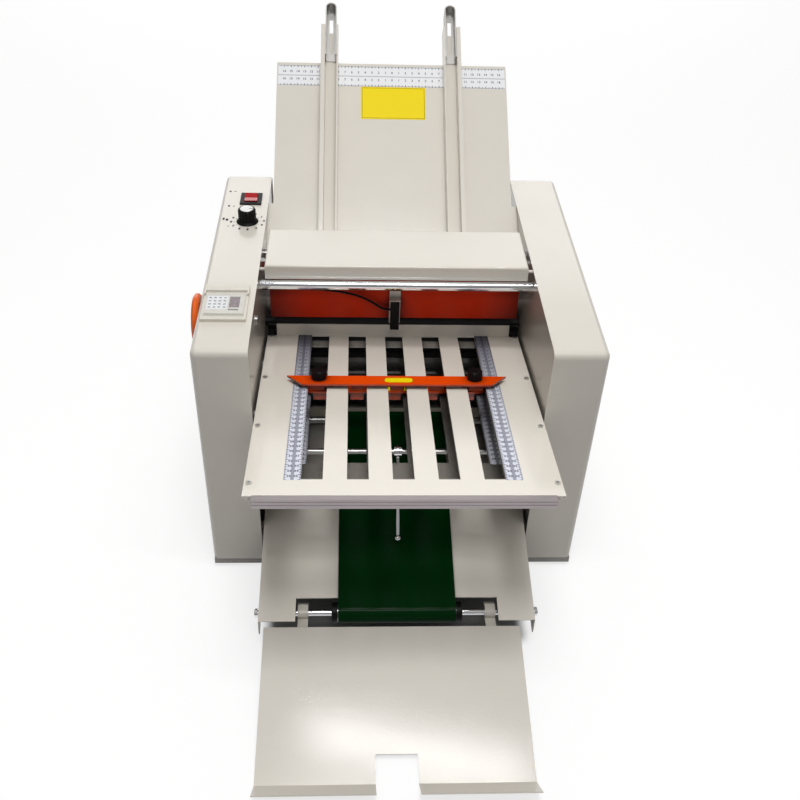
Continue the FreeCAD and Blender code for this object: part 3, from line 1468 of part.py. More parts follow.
def make_switch():
    body = new_body("switch_frame")
    x, y, top = "-switch_x", at_y("switch_setback"), TOP
    half_x, half_y = "switch_width / 2", "switch_length / 2"
    inner_x, inner_y = f"{half_x} - switch_rim", f"{half_y} - switch_rim"
    extrude(body, "Pad", "XY_Plane", "switch_rise", top, [square(x, y, half_x, half_y)])
    extrude(body, "Pad", "XY_Plane", "switch_depth + fit", less(top, "switch_depth"),
            [square(x, y, inner_x, inner_y)])
    well_x, well_y = f"{inner_x} - switch_wall", f"{inner_y} - switch_wall"
    extrude(body, "Pocket", "XY_Plane", "2 * (switch_well + switch_rise)", total(top, "switch_rise"),
            [square(x, y, well_x, well_y)], both=True)
    rocker = new_body("rocker_button")
    end = f"{well_y} - rocker_clear - rocker_swing"
    extrude(rocker, "Pad", "YZ_Plane", f"2 * ({well_x} - rocker_clear)", f"rocker_clear - ({well_x})",
            [[(f"-({end})", "-rocker_low"), (end, "-rocker_low"), (end, "rocker_rise"), ("0", "rocker_dip"),
              (f"-({end})", "rocker_rise")]])
    place(rocker, x, y, total(top, "rocker_pivot"), "rocker_tilt")


def make_dial():
    top = num(TOP)
    x, y = -num("dial_x"), num(at_y("dial_setback"))
    cap = fluted_knob(num("dial_cap"), num("dial_height"), num("dial_shaft"), num("dial_stem"))
    skirt = Part.makeCone(num("dial_skirt"), num("dial_cap + dial_gap"), num("dial_skirt_height"))
    knob = cap.fuse(skirt).removeSplitter()
    item = coded("speed_knob", knob)
    place(item, "-dial_x", at_y("dial_setback"), total(TOP, "dial_gap"))
    low = top - num("board_drop")
    y0, y1 = num(at_y("board_from")), num(at_y("board_from + board_length"))
    cx, half, sheet = -num("board_x"), num("board_half"), num("board_sheet")
    board = solid_box(cx - half, y0, low - sheet, cx + half, y1, low)
    pot = num("pot_half")
    solids = [solid_box(x - pot, y - pot, low, x + pot, y + pot, low + num("pot_height"))]
    plug = num("plug_width") / 2
    lead_x = -num("lead_rise_out")
    solids.append(solid_box(lead_x - plug, y0, low, lead_x + plug, y0 + 2 * plug, low + num("plug_height")))
    inset = num("board_post_inset")
    for px in (cx - half + inset, cx + half - inset):
        for py in (y0 + 3 * inset, y1 - inset):
            solids.append(Part.makeCylinder(num("board_post"), top - num("housing_wall") - low, Vector(px, py, low)))
    stem = Part.makeCylinder(num("dial_shaft + fit"), 2 * (top - low), Vector(x, y, low))
    coded("control_board", board.fuse(solids).removeSplitter().cut(stem))


COUNTER_Y = at_y("counter_setback")
LENS_Y = total(COUNTER_Y, "lens_back - counter_length / 2")
LENS_Z = total(TOP, "counter_rise + lens_rise")


def make_counter():
    body = new_body("counter_case")
    x = "-counter_x"
    half_x, half_y = "counter_width / 2", "counter_length / 2"
    extrude(body, "Pad", "XY_Plane", "counter_rise", TOP, [square(x, COUNTER_Y, half_x, half_y)])
    extrude(body, "Pad", "XY_Plane", "counter_sink + fit", less(TOP, "counter_sink"),
            [square(x, COUNTER_Y, f"{half_x} - counter_lip", f"{half_y} - counter_lip")])
    rise = total(TOP, "counter_rise")
    face = rect(f"{x} - counter_face_half", less(LENS_Y, "lens_length - 2 * lens_ear"), f"{x} + counter_face_half",
                less(LENS_Y, "2 * lens_ear"))
    ledge = rect(f"{x} - {half_x}", total(LENS_Y, "2 * lens_ear"), f"{x} + {half_x}", total(COUNTER_Y, half_y))
    extrude(body, "Pad", "XY_Plane", "counter_face + fit", less(rise, "fit"), [face])
    extrude(body, "Pad", "XY_Plane", "lens_rise + lens_sheet + fit", less(rise, "fit"), [ledge])
    ear = rect(less(LENS_Y, "lens_ear_half"), less(rise, "fit"), total(LENS_Y, "2 * lens_ear + fit"),
               total(LENS_Z, "lens_sheet"))
    for sign, start in (("-1", f"{x} - ({half_x})"), ("1", f"{x} + {half_x} - lens_ear")):
        extrude(body, "Pad", "YZ_Plane", "lens_ear", start, [ear])
    extrude(body, "Pocket", "YZ_Plane", "2 * counter_width", x,
            circles=[(LENS_Y, LENS_Z, "lens_pin + fit")], both=True)
    lens = new_body("counter_cover")
    extrude(lens, "Pad", "YZ_Plane", "2 * lens_half", "-lens_half",
            [[("0", "0"), ("0", "lens_sheet"), ("-lens_length", "lens_sheet"), ("-lens_length", "-lens_lip"),
              ("lens_sheet - lens_length", "-lens_lip"), ("lens_sheet - lens_length", "0")]])
    extrude(lens, "Pad", "YZ_Plane", "2 * lens_half", "-lens_half", circles=[("0", "0", "lens_sheet")])
    extrude(lens, "Pad", "YZ_Plane", "2 * (lens_half + lens_pin_past)", "-(lens_half + lens_pin_past)",
            circles=[("0", "0", "lens_pin")])
    place(lens, x, LENS_Y, LENS_Z)


def make_inlet():
    """A plain three-way power socket in the rear wall."""
    x, z, rear = -num("inlet_x"), num("inlet_z"), num(at_y("housing_depth"))
    half_x, half_z, lip = num("inlet_width / 2"), num("inlet_height / 2"), num("inlet_flange")
    wall, depth = num("bracket_sheet"), num("inlet_depth")
    body = solid_box(x - half_x, rear, z - half_z, x + half_x, rear + wall, z + half_z)
    plug = solid_box(x - half_x + lip, rear - depth, z - half_z + lip, x + half_x - lip, rear, z + half_z - lip)
    body = body.fuse(plug)
    inner = 2 * lip
    cut = solid_box(x - half_x + inner, rear - depth + lip, z - half_z + inner, x + half_x - inner, rear + 2 * wall,
                    z + half_z - inner)
    coded("power_inlet", body.removeSplitter().cut(cut))


make_base()
for side, sign in (("left", -1), ("right", 1)):
    make_frame(side, sign)
    make_housing(side, sign)
make_screws()
make_tie_bars()
make_bushes()
make_cross_tube()
make_rollers()
make_front_belt_roller()
make_drive()
make_belts()
make_fold_plate("upper", UPPER, "upper_length", "upper_slot_end")
make_fold_plate("lower", LOWER, "lower_length", "lower_slot_end")
make_edge_bar()
make_stop("upper", UPPER, "upper_stop_at", "stop_width")
make_stop("lower", LOWER, "lower_stop_at", "lower_stop_width")
make_stop_knobs()
make_latches()
make_top_cover()
make_screen()
make_guides()
make_sensor()
make_lead()
make_feed_tray()
for side, sign in (("left", -1), ("right", 1)):
    make_arm(side, sign)
    make_insert(side, sign)
make_delivery_table()
make_hold_down()
make_receiving_tray()
make_switch()
make_dial()
make_counter()
make_inlet()

doc.removeObject(probe.Name)
doc.recompute()

for item in doc.Objects:
    if "Invalid" in item.State or "Error" in item.State:
        raise RuntimeError(f"{item.Label} failed: {item.State}")

os.makedirs("parts", exist_ok=True)
for item in PIECES:
    if item.Shape.isNull() or not item.Shape.isValid():
        raise RuntimeError(f"{item.Label} has no valid shape")
    item.Shape.exportStep(f"parts/{item.Label}.step")
print(len(PIECES), "sub-parts")
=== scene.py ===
"""Looks for the desk paper folding machine: finishes, printed scales, small fittings, light and camera."""

import json
import math

import bpy
import numpy as np
from bpy.props import FloatProperty, FloatVectorProperty, PointerProperty
from mathutils import Matrix, Vector


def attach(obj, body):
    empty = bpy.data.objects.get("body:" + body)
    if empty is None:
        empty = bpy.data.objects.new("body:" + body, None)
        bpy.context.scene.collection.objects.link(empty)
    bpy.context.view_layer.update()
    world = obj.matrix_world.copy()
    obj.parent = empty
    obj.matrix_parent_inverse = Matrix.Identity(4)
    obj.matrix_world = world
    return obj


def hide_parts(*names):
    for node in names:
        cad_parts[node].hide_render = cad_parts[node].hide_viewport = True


bl_info = {
    "name": "Paper Folding Machine Finish",
    "version": (1, 0, 0),
    "blender": (4, 5, 0),
    "location": "View3D > Sidebar > Folder",
    "description": "Dresses a desk paper folding machine with its finishes and small fittings",
    "category": "Object",
}

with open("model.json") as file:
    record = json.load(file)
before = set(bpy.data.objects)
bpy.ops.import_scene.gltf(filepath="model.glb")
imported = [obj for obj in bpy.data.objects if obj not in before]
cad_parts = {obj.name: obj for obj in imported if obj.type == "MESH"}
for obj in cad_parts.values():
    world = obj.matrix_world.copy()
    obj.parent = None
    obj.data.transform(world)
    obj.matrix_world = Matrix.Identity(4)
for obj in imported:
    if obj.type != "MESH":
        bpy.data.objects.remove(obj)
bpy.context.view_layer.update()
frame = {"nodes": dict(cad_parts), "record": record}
NODES = frame["nodes"]
MM = 0.001

# Directions and datum points of the machine, in the row frame, in millimetres
PLATE_SLOPE = 8.7
TRAY_SLOPE = 35.0
UPPER_MOUTH = (0.0, 92.769, 231.576)
LOWER_MOUTH = (0.0, 94.673, 172.621)
TRAY_START = (0.0, 147.5, 302.0)
HOUSING_TOP = 365.0
FRONT_DRUM = (0.0, -249.5, 42.39)
FLOOR_GLOW = 0.72
COUNTER_FACE = 370.8
SCREW_TOP = 1.8
# Rectangle under the machine, in metres, where the floor's white glow is cut off: a painted shadow
SHADOW_FOOTPRINT = ((-0.165, -0.262), (0.165, 0.29))


# ---- Colours and nodes


def linear(code):
    """The linear RGBA of an sRGB hex colour."""
    raw = np.array([int(code[i:i + 2], 16) for i in (1, 3, 5)]) / 255
    value = np.where(raw <= 0.04045, raw / 12.92, ((raw + 0.055) / 1.055) ** 2.4)
    return (*value.tolist(), 1.0)


def tint(colour, factor):
    """A colour made darker or lighter by a factor, with full alpha."""
    return (*(min(1.0, c * factor) for c in colour[:3]), 1.0)


def add(tree, kind, sockets=None, **settings):
    """One node with its settings, and its sockets set or linked."""
    node = tree.nodes.new(kind)
    for name, value in settings.items():
        setattr(node, name, value)
    for key, value in (sockets or {}).items():
        if isinstance(value, bpy.types.NodeSocket):
            tree.links.new(value, node.inputs[key])
        else:
            node.inputs[key].default_value = value
    return node


def surface(name, **sockets):
    """A material with one Principled shader, its sockets named with underscores for spaces."""
    material = bpy.data.materials.new(name)
    material.use_nodes = True
    tree = material.node_tree
    tree.nodes.clear()
    shader = add(tree, "ShaderNodeBsdfPrincipled", {key.replace("_", " "): value for key, value in sockets.items()})
    add(tree, "ShaderNodeOutputMaterial", {"Surface": shader.outputs["BSDF"]})
    return material, tree, shader


def per(length):
    """The pattern scale whose features are a length in millimetres apart, on coordinates in metres."""
    return 1 / (length * MM)


def grain(tree, length, detail=2.0, stretch=(1.0, 1.0, 1.0)):
    """Noise whose bumps are a length in millimetres across, on Object coordinates, stretched along some axes."""
    place = add(tree, "ShaderNodeTexCoord").outputs["Object"]
    turned = add(tree, "ShaderNodeMapping", {"Vector": place, "Scale": stretch}).outputs["Vector"]
    sockets = {"Vector": turned, "Scale": per(length), "Detail": detail}
    return add(tree, "ShaderNodeTexNoise", sockets).outputs["Fac"]


def vary(tree, shader, socket, fac, low, high):
    """A socket that runs from a low to a high value, or colour, as a factor goes from dark to light."""
    if isinstance(low, tuple):
        node = add(tree, "ShaderNodeMix", data_type="RGBA")
        keys = (0, 6, 7, 2)
    else:
        node = add(tree, "ShaderNodeMapRange")
        keys = (0, 3, 4, 0)
    tree.links.new(fac, node.inputs[keys[0]])
    node.inputs[keys[1]].default_value = low
    node.inputs[keys[2]].default_value = high
    tree.links.new(node.outputs[keys[3]], shader.inputs[socket])


def shelter(tree, shader, reach, shade, low=0.35, high=0.85):
    """Painted shade in recesses: the base colour fades to a dark shade where other faces stand within reach.
    From the low share of open air down the shade is full, and from the high share up there is none."""
    open_air = add(tree, "ShaderNodeAmbientOcclusion", {"Distance": reach * MM}, samples=6).outputs["AO"]
    amount = add(tree, "ShaderNodeMapRange", {"Value": open_air, "From Min": low, "From Max": high})
    link = shader.inputs["Base Color"].links[0]
    mixed = add(tree, "ShaderNodeMix", data_type="RGBA")
    tree.links.new(amount.outputs["Result"], mixed.inputs[0])
    mixed.inputs[6].default_value = shade
    tree.links.new(link.from_socket, mixed.inputs[7])
    tree.links.new(mixed.outputs[2], shader.inputs["Base Color"])


def emboss(tree, shader, height, depth, strength=1.0, under=None):
    """A height pattern felt as relief of a depth in millimetres, over another relief if there is one."""
    sockets = {"Height": height, "Distance": depth * MM, "Strength": strength}
    if under:
        sockets["Normal"] = under.outputs["Normal"]
    bump = add(tree, "ShaderNodeBump", sockets)
    tree.links.new(bump.outputs["Normal"], shader.inputs["Normal"])
    return bump


# ---- Finishes of the machine


def powder_coat(name, colour, peel, depth, shade_reach=0.0):
    """Baked powder coat on sheet steel: an even warm grey under a glossy coat, with a soft orange-peel relief that
    blurs each highlight, and painted shade in recesses if a reach is given."""
    roughness = 0.42
    material, tree, shader = surface(name, Roughness=roughness, IOR=1.5, Coat_Weight=0.7, Coat_Roughness=0.1)
    # A real peel is about 1.5 mm from crest to crest; it is drawn coarser so that it shows at a pixel per millimetre
    crests = grain(tree, peel, 1.0)
    vary(tree, shader, "Base Color", grain(tree, 45.0, 3.0), tint(colour, 0.965), tint(colour, 1.02))
    vary(tree, shader, "Roughness", grain(tree, 9.0, 4.0), roughness - 0.05, roughness + 0.07)
    # Painted shade: within the reach of other faces the colour falls to 3 % of itself
    if shade_reach:
        shelter(tree, shader, shade_reach, tint(colour, 0.03))
    fine = emboss(tree, shader, grain(tree, 0.7, 0.0), depth / 3)
    peeled = emboss(tree, shader, crests, depth, 1.0, fine)
    tree.links.new(peeled.outputs["Normal"], shader.inputs["Coat Normal"])
    return material


def enamel(name, colour, roughness=0.2, coat=0.6, shine=0.5):
    """Sprayed gloss enamel: deep even colour, a wet-looking coat with long shallow waves, a few dust nibs, and
    painted shade where other faces stand within 60 mm.
    """
    material, tree, shader = surface(name, Roughness=roughness, IOR=1.5, Specular_IOR_Level=shine, Coat_Weight=coat,
                                     Coat_Roughness=0.06)
    vary(tree, shader, "Base Color", grain(tree, 20.0, 4.0), tint(colour, 0.88), tint(colour, 1.08))
    vary(tree, shader, "Roughness", grain(tree, 4.0, 5.0), roughness - 0.06, roughness + 0.1)
    # Painted shade: the enamel darkens to an eighth of its colour where other faces stand within 60 mm
    shelter(tree, shader, 60.0, tint(colour, 0.12), 0.5, 0.96)
    waves = emboss(tree, shader, grain(tree, 5.0, 0.5), 0.03)
    nibs = add(tree, "ShaderNodeMapRange", {"Value": grain(tree, 2.2, 0.0), "From Min": 0.72, "From Max": 0.8})
    emboss(tree, shader, nibs.outputs["Result"], 0.03, 0.6, waves)
    return material


def ground_steel(name, colour, roughness=0.28):
    """Ground and oiled steel: fine grinding lines round the shaft, with darker handled patches."""
    material, tree, shader = surface(name, Metallic=1.0, Roughness=roughness)
    lines = grain(tree, 0.6, 3.0, (1.0, 0.06, 0.06))
    vary(tree, shader, "Base Color", grain(tree, 14.0, 5.0), tint(colour, 0.82), tint(colour, 1.06))
    vary(tree, shader, "Roughness", lines, roughness - 0.08, roughness + 0.12)
    emboss(tree, shader, lines, 0.008)
    return material


def chrome_plate(name, colour, roughness=0.07):
    """Polished chrome plate: mirror bright, with faint wiping haze that only shows in the reflections."""
    material, tree, shader = surface(name, Metallic=1.0, Roughness=roughness)
    haze = grain(tree, 11.0, 6.0)
    vary(tree, shader, "Base Color", haze, tint(colour, 0.93), tint(colour, 1.03))
    vary(tree, shader, "Roughness", haze, roughness * 0.6, roughness * 2.2)
    emboss(tree, shader, grain(tree, 3.0, 1.0), 0.004)
    return material


def extruded_aluminium(name, colour, roughness=0.52):
    """Extruded bar, clear anodised: long die lines that run the length of the bar and a soft satin sheen."""
    material, tree, shader = surface(name, Metallic=1.0, Roughness=roughness)
    lines = grain(tree, 0.5, 4.0, (0.01, 1.0, 1.0))
    vary(tree, shader, "Base Color", lines, tint(colour, 0.86), tint(colour, 1.07))
    vary(tree, shader, "Roughness", grain(tree, 6.0, 4.0, (0.1, 1.0, 1.0)), roughness - 0.07, roughness + 0.1)
    emboss(tree, shader, lines, 0.012)
    return material


def sintered_bronze(name, colour, roughness=0.42):
    """Oil-filled sintered bronze: a matt warm metal with pin-prick pores."""
    material, tree, shader = surface(name, Metallic=1.0, Roughness=roughness)
    pores = grain(tree, 0.4, 2.0)
    vary(tree, shader, "Base Color", pores, tint(colour, 0.6), tint(colour, 1.1))
    vary(tree, shader, "Roughness", grain(tree, 5.0, 3.0), roughness - 0.1, roughness + 0.12)
    emboss(tree, shader, pores, 0.02)
    return material


def ground_rubber(name, colour, roughness=0.55):
    """Ground nitrile rubber on the rollers: dense black with a dry grain and paler dusty bands where paper runs."""
    material, tree, shader = surface(name, Roughness=roughness, IOR=1.52)
    dust = grain(tree, 22.0, 5.0, (1.0, 0.35, 0.35))
    vary(tree, shader, "Base Color", dust, tint(colour, 0.75), tint(colour, 1.7))
    vary(tree, shader, "Roughness", grain(tree, 3.0, 4.0), roughness - 0.12, roughness + 0.15)
    emboss(tree, shader, grain(tree, 0.45, 2.0), 0.03)
    return material


def friction_pad(name, colour, roughness=0.85):
    """Cork and rubber friction pad: granules of cork a millimetre across in a brown binder."""
    material, tree, shader = surface(name, Roughness=roughness, IOR=1.48)
    place = add(tree, "ShaderNodeTexCoord").outputs["Object"]
    granules = add(tree, "ShaderNodeTexVoronoi", {"Vector": place, "Scale": per(1.2)})
    vary(tree, shader, "Base Color", granules.outputs["Distance"], tint(colour, 1.25), tint(colour, 0.45))
    vary(tree, shader, "Roughness", grain(tree, 2.0, 3.0), roughness - 0.1, roughness + 0.08)
    emboss(tree, shader, granules.outputs["Distance"], 0.12, -0.6)
    return material


def belt_pvc(name, colour, roughness=0.16):
    """Calendered green PVC belting: a wet gloss face that ripples a little, with the weave ghosting through."""
    material, tree, shader = surface(name, Roughness=roughness, IOR=1.5, Specular_IOR_Level=0.05)
    vary(tree, shader, "Base Color", grain(tree, 30.0, 4.0, (1.0, 0.3, 1.0)), tint(colour, 0.75), tint(colour, 1.25))
    vary(tree, shader, "Roughness", grain(tree, 7.0, 5.0), roughness - 0.06, roughness + 0.12)
    # The carcass weave is 0.9 mm from thread to thread
    place = add(tree, "ShaderNodeTexCoord").outputs["Object"]
    threads = {"Vector": place, "Scale": per(0.9) / 20, "Distortion": 0.4}
    weft = add(tree, "ShaderNodeTexWave", threads, bands_direction="Y")
    ripple = emboss(tree, shader, grain(tree, 16.0, 1.0, (1.0, 0.5, 1.0)), 0.12)
    emboss(tree, shader, weft.outputs["Fac"], 0.006, 0.6, ripple)
    return material


def moulded_plastic(name, colour, roughness=0.42, gloss=0.0):
    """Injection-moulded plastic: a spark-eroded skin of half-millimetre dimples that dulls the highlight."""
    material, tree, shader = surface(name, Roughness=roughness, IOR=1.46, Coat_Weight=gloss, Coat_Roughness=0.05,
                                     Specular_IOR_Level=0.2)
    vary(tree, shader, "Base Color", grain(tree, 10.0, 4.0), tint(colour, 0.9), tint(colour, 1.1))
    vary(tree, shader, "Roughness", grain(tree, 2.5, 3.0), roughness - 0.06, roughness + 0.08)
    emboss(tree, shader, grain(tree, 0.5, 1.0), 0.02)
    return material


def clear_acrylic(name, colour):
    """Thin moulded acrylic cover: nearly all light goes straight through, with a sharp sheen and faint scuffs."""
    material, tree, shader = surface(name, Roughness=0.1, IOR=1.49, Alpha=0.16)
    vary(tree, shader, "Base Color", grain(tree, 12.0, 4.0), tint(colour, 0.9), tint(colour, 1.0))
    vary(tree, shader, "Roughness", grain(tree, 4.0, 6.0), 0.05, 0.25)
    emboss(tree, shader, grain(tree, 9.0, 0.5), 0.02)
    return material


def circuit_board(name, colour):
    """Glass-epoxy board under green resist: copper tracks 1.2 mm apart stand proud under the gloss."""
    material, tree, shader = surface(name, Roughness=0.3, IOR=1.55, Coat_Weight=0.3, Coat_Roughness=0.1)
    place = add(tree, "ShaderNodeTexCoord").outputs["Object"]
    sockets = {"Vector": place, "Scale": per(6.0), "Mortar Size": 0.08, "Color1": tint(colour, 0.9),
               "Color2": colour}
    tracks = add(tree, "ShaderNodeTexBrick", {**sockets, "Mortar": tint(colour, 2.0)})
    tree.links.new(tracks.outputs["Color"], shader.inputs["Base Color"])
    vary(tree, shader, "Roughness", grain(tree, 3.0, 3.0), 0.22, 0.42)
    emboss(tree, shader, tracks.outputs["Fac"], 0.05)
    return material


def printed_vinyl(name, face, ink, half, band, mouth_shade=None):
    """Self-adhesive scale printed on white vinyl: millimetre, five and ten millimetre strokes at both edges, and a
    dark band down the middle, with painted shade darkening the face over a given stretch of its length. The UV map
    is in millimetres, across and along the strip."""
    material, tree, shader = surface(name, Roughness=0.5, IOR=1.46, Specular_IOR_Level=0.25)
    spot = add(tree, "ShaderNodeSeparateXYZ", {"Vector": add(tree, "ShaderNodeTexCoord").outputs["UV"]})
    off = add(tree, "ShaderNodeMath", {0: spot.outputs["X"]}, operation="ABSOLUTE").outputs["Value"]
    ink_fac = add(tree, "ShaderNodeMath", {0: off, 1: band}, operation="LESS_THAN").outputs["Value"]
    ink_fac = add(tree, "ShaderNodeMath", {0: ink_fac, 1: 0.55}, operation="MULTIPLY").outputs["Value"]
    for pitch, width, length in ((1.0, 0.4, 1.6), (5.0, 0.7, 2.6), (10.0, 0.9, 3.4)):
        near = add(tree, "ShaderNodeMath", {0: spot.outputs["Y"], 1: pitch / 2}, operation="PINGPONG").outputs["Value"]
        stroke = add(tree, "ShaderNodeMath", {0: near, 1: width / 2}, operation="LESS_THAN").outputs["Value"]
        edge = add(tree, "ShaderNodeMath", {0: off, 1: half - length}, operation="GREATER_THAN").outputs["Value"]
        both = add(tree, "ShaderNodeMath", {0: stroke, 1: edge}, operation="MULTIPLY").outputs["Value"]
        ink_fac = add(tree, "ShaderNodeMath", {0: ink_fac, 1: both}, operation="MAXIMUM").outputs["Value"]
    vary(tree, shader, "Base Color", ink_fac, face, ink)
    # Painted shade: the face darkens to a tenth of its white along the given stretch
    if mouth_shade:
        reach = {"Value": spot.outputs["Y"], "From Min": mouth_shade[0], "From Max": mouth_shade[1]}
        handled = add(tree, "ShaderNodeMapRange", reach)
        printed = shader.inputs["Base Color"].links[0].from_node
        shaded_face = add(tree, "ShaderNodeMix", data_type="RGBA")
        tree.links.new(handled.outputs["Result"], shaded_face.inputs[0])
        shaded_face.inputs[6].default_value = tint(face, 0.1)
        shaded_face.inputs[7].default_value = face
        tree.links.new(shaded_face.outputs[2], printed.inputs[6])
    vary(tree, shader, "Roughness", grain(tree, 5.0, 4.0), 0.42, 0.58)
    emboss(tree, shader, grain(tree, 1.5, 2.0), 0.01)
    return material


def label_vinyl(name, face, line, half_width, half_length, inset, width):
    """Plain self-adhesive label: saturated vinyl with one thin printed border. The UV map is in millimetres from the
    label's middle."""
    material, tree, shader = surface(name, Roughness=0.5, IOR=1.46, Specular_IOR_Level=0.25)
    spot = add(tree, "ShaderNodeSeparateXYZ", {"Vector": add(tree, "ShaderNodeTexCoord").outputs["UV"]})
    gaps = []
    for axis, half in (("X", half_width), ("Y", half_length)):
        off = add(tree, "ShaderNodeMath", {0: spot.outputs[axis]}, operation="ABSOLUTE").outputs["Value"]
        gaps.append(add(tree, "ShaderNodeMath", {0: half - inset, 1: off}, operation="SUBTRACT").outputs["Value"])
    inner = add(tree, "ShaderNodeMath", {0: gaps[0], 1: gaps[1]}, operation="MINIMUM").outputs["Value"]
    band = add(tree, "ShaderNodeMath", {0: inner}, operation="ABSOLUTE").outputs["Value"]
    on_line = add(tree, "ShaderNodeMath", {0: band, 1: width / 2}, operation="LESS_THAN").outputs["Value"]
    vary(tree, shader, "Base Color", on_line, face, line)
    vary(tree, shader, "Roughness", grain(tree, 4.0, 4.0), 0.42, 0.58)
    emboss(tree, shader, grain(tree, 2.5, 2.0), 0.015)
    return material


def screen_ink(name, colour, roughness=0.45):
    """Screen-printed ink: a thin even film, slightly duller than the paint round it, with starved edges."""
    material, tree, shader = surface(name, Roughness=roughness, IOR=1.46)
    vary(tree, shader, "Base Color", grain(tree, 0.8, 3.0), tint(colour, 0.85), tint(colour, 1.3))
    vary(tree, shader, "Roughness", grain(tree, 1.6, 3.0), roughness - 0.1, roughness + 0.1)
    emboss(tree, shader, grain(tree, 0.6, 1.0), 0.01)
    return material


# ---- Shapes


def seat(origin, slope=0.0, turn=0.0):
    """The 4x4 that stands a piece on a sloping face: x across, y up the slope, z out of it; lengths in metres."""
    return Matrix.Translation([v * MM for v in origin]) @ Matrix.Rotation(math.radians(slope), 4, "X") \
        @ Matrix.Rotation(math.radians(turn), 4, "Z")


def lay(name, points, faces, material, body, place=None, uv=None, smooth=False):
    """One mesh in millimetres, set on its seat, given its finish and its body; uv has one pair per point."""
    points = np.asarray(points, float).reshape(-1, 3) * MM
    if place is not None:
        turn = np.array(place)
        points = points @ turn[:3, :3].T + turn[:3, 3]
    mesh = bpy.data.meshes.new(name)
    mesh.from_pydata(points, [], faces)
    mesh.polygons.foreach_set("use_smooth", np.full(len(mesh.polygons), smooth))
    if uv is not None:
        loops = np.empty(len(mesh.loops), dtype=np.int32)
        mesh.loops.foreach_get("vertex_index", loops)
        mesh.uv_layers.new(name="across_along").data.foreach_set("uv", np.asarray(uv, float)[loops].ravel())
    mesh.materials.append(material)
    mesh.validate()
    mesh.update()
    piece = bpy.data.objects.new(name, mesh)
    bpy.context.scene.collection.objects.link(piece)
    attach(piece, body)
    return piece


def quads(rings, around, start=0, closed=True):
    """Faces between rings of points that are stored ring after ring."""
    steps = around if closed else around - 1
    k, j = np.meshgrid(np.arange(rings - 1), np.arange(steps), indexing="ij")
    low, high = k * around, (k + 1) * around
    nxt = (j + 1) % around
    grid = np.stack([low + j, low + nxt, high + nxt, high + j], axis=-1) + start
    return grid.reshape(-1, 4)


def rounded(half_x, half_y, corner, inset, steps=5):
    """The outline of a rounded rectangle: four quarter circles of the corner radius, each inset alike."""
    angle = np.linspace(0, math.pi / 2, steps)[None, :] + np.arange(4)[:, None] * math.pi / 2
    radius = max(corner - inset, 1e-3)
    side_x = np.array([1, -1, -1, 1])[:, None] * (half_x - corner)
    side_y = np.array([1, 1, -1, -1])[:, None] * (half_y - corner)
    return np.stack([side_x + radius * np.cos(angle), side_y + radius * np.sin(angle)], axis=-1).reshape(-1, 2)


def slab(half_x, half_y, corner, rings):
    """A low block: the rounded outline carried up through rings of (inset, height), closed at both ends."""
    loops = [np.column_stack([rounded(half_x, half_y, corner, inset), np.full(20, height)])
             for inset, height in rings]
    points = np.concatenate(loops)
    faces = [tuple(f) for f in quads(len(rings), 20)]
    faces += [tuple(range(19, -1, -1)), tuple(range(len(points) - 20, len(points)))]
    return points, faces


def thin(half_x, half_y, corner=0.2, low=0.02, high=0.07):
    """A printed mark: a film a few hundredths of a millimetre high."""
    return slab(half_x, half_y, corner, ((0, low), (0, high)))


def turned_shape(profile, steps=32):
    """A solid of revolution about z: the profile of (radius, height) carried round, with a point at each end."""
    profile = np.asarray(profile, float)
    angle = np.linspace(0, 2 * math.pi, steps, endpoint=False)
    ring = np.stack([np.cos(angle), np.sin(angle)], axis=-1)
    body = np.concatenate([np.column_stack([r * ring, np.full(steps, h)]) for r, h in profile[1:-1]])
    points = np.concatenate([body, [[0, 0, profile[0, 1]], [0, 0, profile[-1, 1]]]])
    faces = [tuple(f) for f in quads(len(profile) - 2, steps)]
    low, high, last = len(body), len(body) + 1, len(body) - steps
    faces += [(low, (k + 1) % steps, k) for k in range(steps)]
    faces += [(high, last + k, last + (k + 1) % steps) for k in range(steps)]
    return points, faces


def sleeve(profile, steps=40):
    """A ring about z: a closed profile of (radius, height), run counter-clockwise, carried round."""
    profile = np.asarray(profile, float)
    angle = np.linspace(0, 2 * math.pi, steps, endpoint=False)
    ring = np.stack([np.cos(angle), np.sin(angle)], axis=-1)
    points = np.concatenate([np.column_stack([r * ring, np.full(steps, h)]) for r, h in profile])
    here = np.arange(len(points)).reshape(len(profile), steps)
    after = np.roll(here, -1, axis=0)
    faces = np.stack([here, np.roll(here, -1, axis=1), np.roll(after, -1, axis=1), after], axis=-1)
    return points, faces.reshape(-1, 4).tolist()


def join_parts(parts):
    """Several (points, faces) put one after the other as one mesh."""
    points, faces, count = [], [], 0
    for some, several in parts:
        points.append(np.asarray(some, float))
        faces += [tuple(int(i) + count for i in f) for f in several]
        count += len(some)
    return np.concatenate(points), faces


def moved(part, offset, turn=0.0):
    """A part turned about z by degrees and then moved."""
    c, s = math.cos(math.radians(turn)), math.sin(math.radians(turn))
    points = np.asarray(part[0], float) @ np.array([[c, s, 0], [-s, c, 0], [0, 0, 1]])
    return points + np.asarray(offset, float), part[1]


def wire(line, radius, around=8):
    """A round wire: a circle carried along a line, each ring square to the line's run and turned as little as can be,
    with a fan at both ends."""
    line = np.asarray(line, float)
    run = np.gradient(line, axis=0)
    run /= np.linalg.norm(run, axis=1)[:, None]
    across = np.cross(run, [0.123, 0.456, 0.882])
    across /= np.linalg.norm(across, axis=1)[:, None]
    other = np.cross(run, across)
    angle = np.linspace(0, 2 * math.pi, around, endpoint=False)
    cosine, sine = np.cos(angle)[None, :, None], np.sin(angle)[None, :, None]
    rings = line[:, None] + radius * (cosine * across[:, None] + sine * other[:, None])
    faces = [tuple(f) for f in quads(len(line), around)]
    last = (len(line) - 1) * around
    faces += [tuple(range(around - 1, -1, -1)), tuple(range(last, last + around))]
    return rings.reshape(-1, 3), faces


